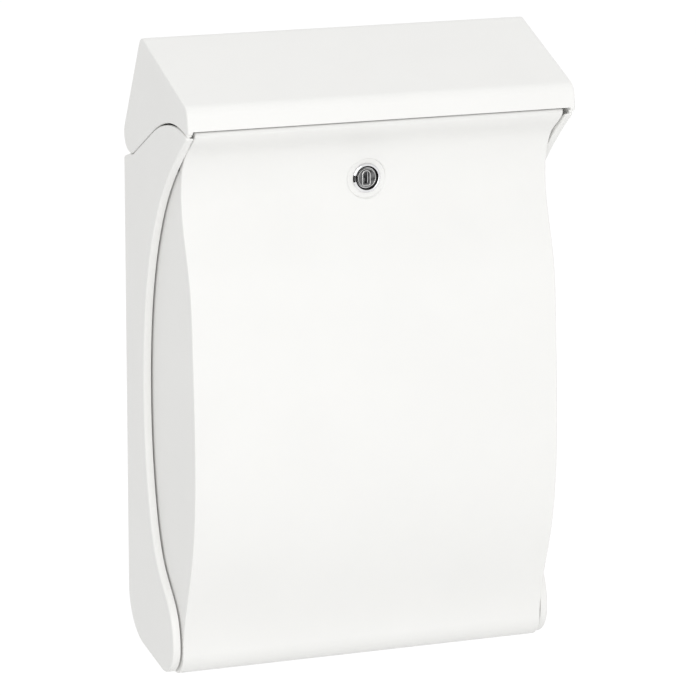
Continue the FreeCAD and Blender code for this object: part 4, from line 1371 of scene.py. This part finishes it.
    def plug(self) -> bpy.types.Object:
        """Plug with a chamfered front face and a sunk keyway.

        The face is a grid between the keyway's outline and the rim: each point of the
        outline and the rim's point in the same direction are joined by straight shares.

        Returns:
            The finished mesh object.
        """
        shell = Shell()
        front = SIZES.seat_depth - self.plug_proud
        end = SIZES.seat_depth + self.barrel_long - 0.1
        radius = self.plug_radius
        slot, lip = self.keyway(0.0), self.keyway(self.keyway_lip)
        turn = np.unwrap(np.arctan2(lip[:, 1], lip[:, 0]))
        rim = np.column_stack((np.cos(turn), np.sin(turn)))
        face = rim * (radius - self.face_edge)
        levels = [(slot, front + self.keyway_deep), (slot, front + self.keyway_lip), (lip, front)]
        levels += [(lip * (1.0 - share) + face * share, front) for share in (0.08, 0.4, 0.75)]
        chamfer = ((0.75, 0.0), (0.45, 0.0), (0.32, 0.05), (0.06, 0.32), (0.0, 0.5))
        levels += [(rim * (radius - narrower), front + deep) for narrower, deep in chamfer]
        levels += [(rim * radius, end - 0.2), (rim * (radius - 0.2), end)]
        rows = [self.row(shell, points[:, 0], depth, points[:, 1]) for points, depth in levels]
        shell.strips(rows, closed=True)
        shell.caps(rows[0], rows[-1])
        low, high = SIZES.lock_height - self.square_half, SIZES.lock_height + self.square_half
        root = end - 0.5
        square = [(root, low), (self.square_end, low), (self.square_end, high), (root, high)]
        prism(shell, square, -self.square_half, self.square_half, 0.3)
        return shell.mesh("lock_core")


class Nodes:
    """Short ways to add and join the nodes of one material or world."""

    def __init__(self, owner: bpy.types.Material | bpy.types.World) -> None:
        """Takes the owner's node tree and clears it.

        Args:
            owner: the material or world.
        """
        owner.use_nodes = True
        self.owner = owner
        self.tree = owner.node_tree
        self.tree.nodes.clear()

    def add(self, kind: str, *sources: Socket, **choices: object) -> bpy.types.Node:
        """Adds a node and fills it in.

        Args:
            kind: type of the node, without the words in front that all types share.
            sources: sockets that are linked to its first inputs, in order.
            choices: its settings in small letters, then its inputs with a capital and with _
                for a space, each as a value or as the socket that is linked to it.

        Returns:
            The new node.
        """
        node = self.tree.nodes.new(f"ShaderNode{kind}")
        for source, target in zip(sources, node.inputs):
            self.tree.links.new(source, target)
        for name, value in choices.items():
            if name.islower():
                setattr(node, name, value)
            elif isinstance(value, Socket):
                self.tree.links.new(value, node.inputs[name.replace("_", " ")])
            else:
                node.inputs[name.replace("_", " ")].default_value = value
        return node

    def mapped(self, move: Triple, scale: Triple) -> Socket:
        """Object coordinates, moved and stretched."""
        place = self.add("TexCoord").outputs["Object"]
        return self.add("Mapping", place, Location=move, Scale=scale).outputs["Vector"]

    def noise(self, scale: float, detail: float = 2.0, vector: Socket | None = None) -> Socket:
        """Cloudy noise between 0 and 1, on the object's own place unless a vector is given."""
        place = vector or self.add("TexCoord").outputs["Object"]
        return self.add("TexNoise", Vector=place, Scale=scale, Detail=detail).outputs["Fac"]

    def spread(self, source: Socket, low: float, high: float) -> Socket:
        """A value stretched to run from low to high, easing in and out at its ends.

        Args:
            source: the value.
            low: lowest result.
            high: highest result.

        Returns:
            The stretched value.
        """
        node = self.add(
            "MapRange", interpolation_type="SMOOTHSTEP", Value=source,
            From_Min=0.2, From_Max=0.8, To_Min=low, To_Max=high,
        )
        return node.outputs["Result"]

    def bump(self, source: Socket, strength: float, distance: float, **under: Socket) -> Socket:
        """Relief from a height, on top of another relief if one is given as Normal."""
        node = self.add("Bump", Height=source, Strength=strength, Distance=distance, **under)
        return node.outputs["Normal"]

    def for_lens(self, hidden: Socket, seen: Socket) -> Socket:
        """One shader for the light on surfaces, another for the lens, for gloss and for glass.

        Args:
            hidden: shader that lights surfaces.
            seen: shader that is looked at.

        Returns:
            The mixed shader.
        """
        ray = self.add("LightPath").outputs
        eye = ray["Is Camera Ray"]
        for name in ("Is Glossy Ray", "Is Transmission Ray"):
            eye = self.add("Math", eye, ray[name], operation="MAXIMUM").outputs["Value"]
        return self.add("MixShader", eye, hidden, seen).outputs["Shader"]


@dataclass(frozen=True)
class Finish:
    """What every finish has: a colour that drifts in clouds, and a range of roughness."""

    name: str
    colour: Triple
    rough: Pair
    drift: float
    cloud_scale: float

    def finished(self, nodes: Nodes, rough: Socket, **inputs: object) -> bpy.types.Material:
        """Adds the shader with its drifting colour.

        Args:
            nodes: the nodes of the material so far.
            rough: what its roughness follows.
            inputs: the shader's other inputs.

        Returns:
            The finished material.
        """
        clouds = nodes.spread(nodes.noise(self.cloud_scale, 3.0), 0.0, 1.0)
        darker = [channel * self.drift for channel in self.colour]
        tint = nodes.add(
            "Mix", data_type="RGBA", Factor=clouds, A=(*self.colour, 1.0), B=(*darker, 1.0)
        )
        shader = nodes.add(
            "BsdfPrincipled", Base_Color=tint.outputs["Result"],
            Roughness=nodes.spread(rough, *self.rough), **inputs,
        )
        nodes.add("OutputMaterial", shader.outputs["BSDF"])
        return nodes.owner

    def nodes(self) -> Nodes:
        """Starts the material."""
        return Nodes(bpy.data.materials.new(self.name))


@dataclass(frozen=True)
class MouldedPlastic(Finish):
    """Semi-gloss injection moulded plastic: fine orange peel, faint flow clouds.

    Peel is the scale, strength and height of its relief, sink the strength and height of the
    clouds' own.
    """

    colour: Triple = WHITE
    rough: Pair = (0.44, 0.52)
    drift: float = 0.985
    cloud_scale: float = 22.0
    rough_scale: float = 9.0
    peel: Triple = (620.0, 0.06, 0.00006)
    sink: Pair = (0.05, 0.0008)
    index: float = 1.5

    def make(self) -> bpy.types.Material:
        """Builds the material: its peel lies on the shallow sinks of the clouds.

        Returns:
            The finished material.
        """
        nodes = self.nodes()
        scale, strength, distance = self.peel
        sinks = nodes.bump(nodes.noise(self.cloud_scale), *self.sink)
        relief = nodes.bump(nodes.noise(scale, 1.0), strength, distance, Normal=sinks)
        return self.finished(nodes, nodes.noise(self.rough_scale), Normal=relief, IOR=self.index)


@dataclass(frozen=True)
class Metal(Finish):
    """Plated, drawn or stamped metal with streaks along one direction and fine pitting.

    Streak stretches the pattern along X, Y and Z; relief is its strength and height.
    """

    drift: float = 0.86
    cloud_scale: float = 180.0
    streak: Triple = (1.0, 1.0, 1.0)
    streak_scale: float = 900.0
    relief: Pair = (0.12, 0.00005)

    def make(self) -> bpy.types.Material:
        """Builds the material: relief and roughness follow the streaks.

        Returns:
            The finished material.
        """
        nodes = self.nodes()
        lines = nodes.noise(self.streak_scale, 3.0, nodes.mapped((0.0, 0.0, 0.0), self.streak))
        return self.finished(nodes, lines, Normal=nodes.bump(lines, *self.relief), Metallic=1.0)


@dataclass(frozen=True)
class TurnedMetal(Finish):
    """Metal with fine rings about the lock's axis, as a lathe leaves them."""

    drift: float = 0.22
    cloud_scale: float = 330.0
    rings: float = 1500.0
    relief: Pair = (0.1, 0.00004)

    def make(self) -> bpy.types.Material:
        """Builds the material: its relief is a noise of the distance from the axis.

        Returns:
            The finished material.
        """
        nodes = self.nodes()
        height = (SIZES.lock_height - HOLES_CENTRE_MM) * METRES_PER_MM
        flat = nodes.mapped((0.0, 0.0, -height), (1.0, 0.0, 1.0))
        far = nodes.add("VectorMath", flat, operation="LENGTH").outputs["Value"]
        rings = nodes.add("TexNoise", noise_dimensions="1D", W=far, Scale=self.rings, Detail=2.0)
        lines = rings.outputs["Fac"]
        return self.finished(nodes, lines, Normal=nodes.bump(lines, *self.relief), Metallic=1.0)


@dataclass
class Dresser:
    """Gives pieces and solids their bodies and finishes."""

    frame: dict
    slots: dict[str, str] = field(default_factory=dict)

    def __post_init__(self) -> None:
        """Reads each node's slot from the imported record."""
        for row in self.frame["record"]["subparts"]:
            self.slots[row["node"]] = row["material_slot"]

    def put_on(self, piece: bpy.types.Object, body: Body, finish: Finish, *nodes: str) -> None:
        """Dresses a new piece, which rides on a body and stands for solids.

        Args:
            piece: the new mesh object.
            body: the body that it moves with.
            finish: its finish.
            nodes: names of the solids that it stands for.
        """
        piece.data.materials.clear()
        piece.data.materials.append(finish.make())
        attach(piece, body.value)
        if nodes:
            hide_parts(*nodes)
        faces = len(piece.data.polygons)
        stands = ", ".join(nodes) or "no solid"
        LOG.info("%s: %d faces, rides on %s, stands for %s", piece.name, faces, body.value, stands)

    def finish_solids(self, finish: Finish, *names: str) -> None:
        """Gives solids that stay in view their finish.

        Args:
            finish: their finish.
            names: nodes of the solids.
        """
        material = finish.make()
        for name in names:
            solid = self.frame["nodes"][name]
            solid.data.materials.clear()
            solid.data.materials.append(material)
            LOG.info("%s: solid kept, dressed in %s", name, material.name)


@dataclass(frozen=True)
class Lamp:
    """A soft area lamp: its place and size in metres, and its power in watts."""

    name: str
    place: Triple
    size: Pair
    power: float


@dataclass
class Studio:
    """Pale floor, soft lamps, white surroundings and the camera."""

    yaw: float = 22.085
    pitch: float = 12.255
    camera_place: Triple = (-1.0627, -2.6782, 0.6361)
    lens: float = 229.5
    sensor: float = 36.0
    far_clip: float = 50.0
    floor_height: float = -0.24
    floor_reach: float = 14.0
    floor_tone: float = 0.82
    floor_glow: float = 0.06
    seen_tone: float = 0.25
    seen_glow: float = 0.84
    ambient: float = 0.758
    lamp_aim: Triple = (0.0, -0.06, 0.02)
    lamps: tuple[Lamp, ...] = (
        Lamp("lamp_front", (-0.32, -2.6, 0.4), (1.2, 1.25), 18.8),
        Lamp("lamp_left", (-2.4, -0.8, 0.6), (1.6, 1.6), 2.0),
        Lamp("lamp_above", (-0.3, -0.4, 2.4), (2.0, 2.0), 6.5),
    )

    def camera(self) -> None:
        """Adds the camera at the photograph's viewing angle."""
        data = bpy.data.cameras.new("camera")
        data.sensor_width = self.sensor
        data.lens = self.lens
        data.clip_end = self.far_clip
        camera = placed("camera", data)
        camera.location = self.camera_place
        tilt, turn = math.radians(90.0 - self.pitch), math.radians(-self.yaw)
        camera.rotation_euler = Euler((tilt, 0.0, turn))
        bpy.context.scene.camera = camera

    def floor(self) -> None:
        """Adds the pale floor, which a lens sees as bright paper with a soft shadow."""
        data = bpy.data.meshes.new("studio_floor")
        ways = ((-1.0, -1.0), (1.0, -1.0), (1.0, 1.0), (-1.0, 1.0))
        reach = self.floor_reach
        points = [(x * reach, y * reach, self.floor_height) for x, y in ways]
        data.from_pydata(points, [], [(0, 1, 2, 3)])
        floor = placed("studio_floor", data)
        nodes = Nodes(bpy.data.materials.new("studio_paper"))
        papers = []
        for tone, glow in ((self.floor_tone, self.floor_glow), (self.seen_tone, self.seen_glow)):
            matt = nodes.add("BsdfDiffuse", Color=(tone, tone, tone, 1.0)).outputs["BSDF"]
            shine = nodes.add("Emission", Strength=glow).outputs["Emission"]
            papers.append(nodes.add("AddShader", matt, shine).outputs["Shader"])
        nodes.add("OutputMaterial", nodes.for_lens(*papers))
        floor.data.materials.append(nodes.owner)

    def world(self) -> None:
        """Sets even surroundings: plain light on surfaces, white to the lens and in gloss."""
        world = bpy.data.worlds.new("studio_world")
        bpy.context.scene.world = world
        nodes = Nodes(world)
        plain, white = (
            nodes.add("Background", Color=(1.0, 1.0, 1.0, 1.0), Strength=level).outputs["Background"]
            for level in (self.ambient, 1.0)
        )
        nodes.add("OutputWorld", nodes.for_lens(plain, white))

    def light(self) -> None:
        """Adds the soft lamps, each facing the middle of the box."""
        for lamp in self.lamps:
            data = bpy.data.lights.new(lamp.name, "AREA")
            data.shape = "RECTANGLE"
            data.size, data.size_y = lamp.size
            data.energy = lamp.power
            light = placed(lamp.name, data)
            light.location = lamp.place
            way = Vector(self.lamp_aim) - Vector(lamp.place)
            light.rotation_euler = way.to_track_quat("-Z", "Y").to_euler()

    def build(self) -> None:
        """Sets up the whole studio."""
        self.floor()
        self.world()
        self.light()
        self.camera()
        bpy.context.scene.view_settings.view_transform = "Standard"


def corners(box: tuple[Vector, Vector]) -> list[list[float]]:
    """Two corners as plain lists of numbers."""
    return [list(map(float, corner)) for corner in box]


def main() -> None:
    """Builds the pieces in order, dresses them and sets up the studio."""
    logging.basicConfig(level=logging.INFO, format="%(name)s: %(message)s")
    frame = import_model()
    dresser = Dresser(frame)

    for moulding, body, finish, node in (
        (Housing(), Body.CASE, "housing_white", "rear_housing"),
        (Lid(), Body.ROOF, "lid_white", "lid"),
        (Door(), Body.DOOR, "door_white", "front_door"),
        (StrikeRail(), Body.CASE, "rail_white", "strike_rail"),
    ):
        dresser.put_on(moulding.build(), body, MouldedPlastic(finish), node)

    lock = LockFront()
    chrome = Metal("lock_chrome", (0.83, 0.83, 0.84), (0.06, 0.16), relief=(0.03, 0.00005))
    dark_nickel = TurnedMetal("plug_nickel", (0.18, 0.18, 0.183), (0.29, 0.42))
    # Brighter copy of the plug's metal, for the painted highlight on its rim and keyway guard
    highlight_metal = Metal("highlight_nickel", (0.62, 0.62, 0.61), (0.1, 0.22), relief=(0.04, 0.00005))
    # Black finish for the pieces of painted shade in the collar's cup and notch
    painted_shade_black = MouldedPlastic(
        "painted_shade_black", (0.004, 0.004, 0.004), (0.45, 0.55), 0.7, peel=(900.0, 0.12, 0.00006), index=1.2
    )
    dresser.put_on(lock.collar(), Body.DOOR, chrome, "lock_body")
    dresser.put_on(lock.plug(), Body.LOCK, dark_nickel, "lock_plug")
    dresser.put_on(lock.shade_pieces(), Body.DOOR, painted_shade_black)
    dresser.put_on(lock.highlight_edges(), Body.LOCK, highlight_metal)

    zinc = Metal("zinc_plate", (0.66, 0.67, 0.66), (0.29, 0.42), streak=(1.0, 1.0, 12.0))
    bright_steel = Metal("bright_steel", (0.7, 0.7, 0.71), (0.16, 0.26), streak=(0.05, 1.0, 1.0))
    brass = Metal("stamped_brass", (0.73, 0.56, 0.28), (0.29, 0.4), streak=(1.0, 8.0, 1.0))
    dresser.finish_solids(
        zinc, "rail_screws", "cam_screw", "lock_washer", "lock_nut", "stop_washer", "cam", "cam_washer"
    )
    dresser.finish_solids(
        bright_steel, "lid_pin_left", "lid_pin_right", "door_pin_left", "door_pin_right",
        "keyway_shutter", "wafer_springs",
    )
    dresser.finish_solids(brass, "lock_wafers", "plug_keeper")

    Studio().build()


if __name__ == "__main__":
    main()
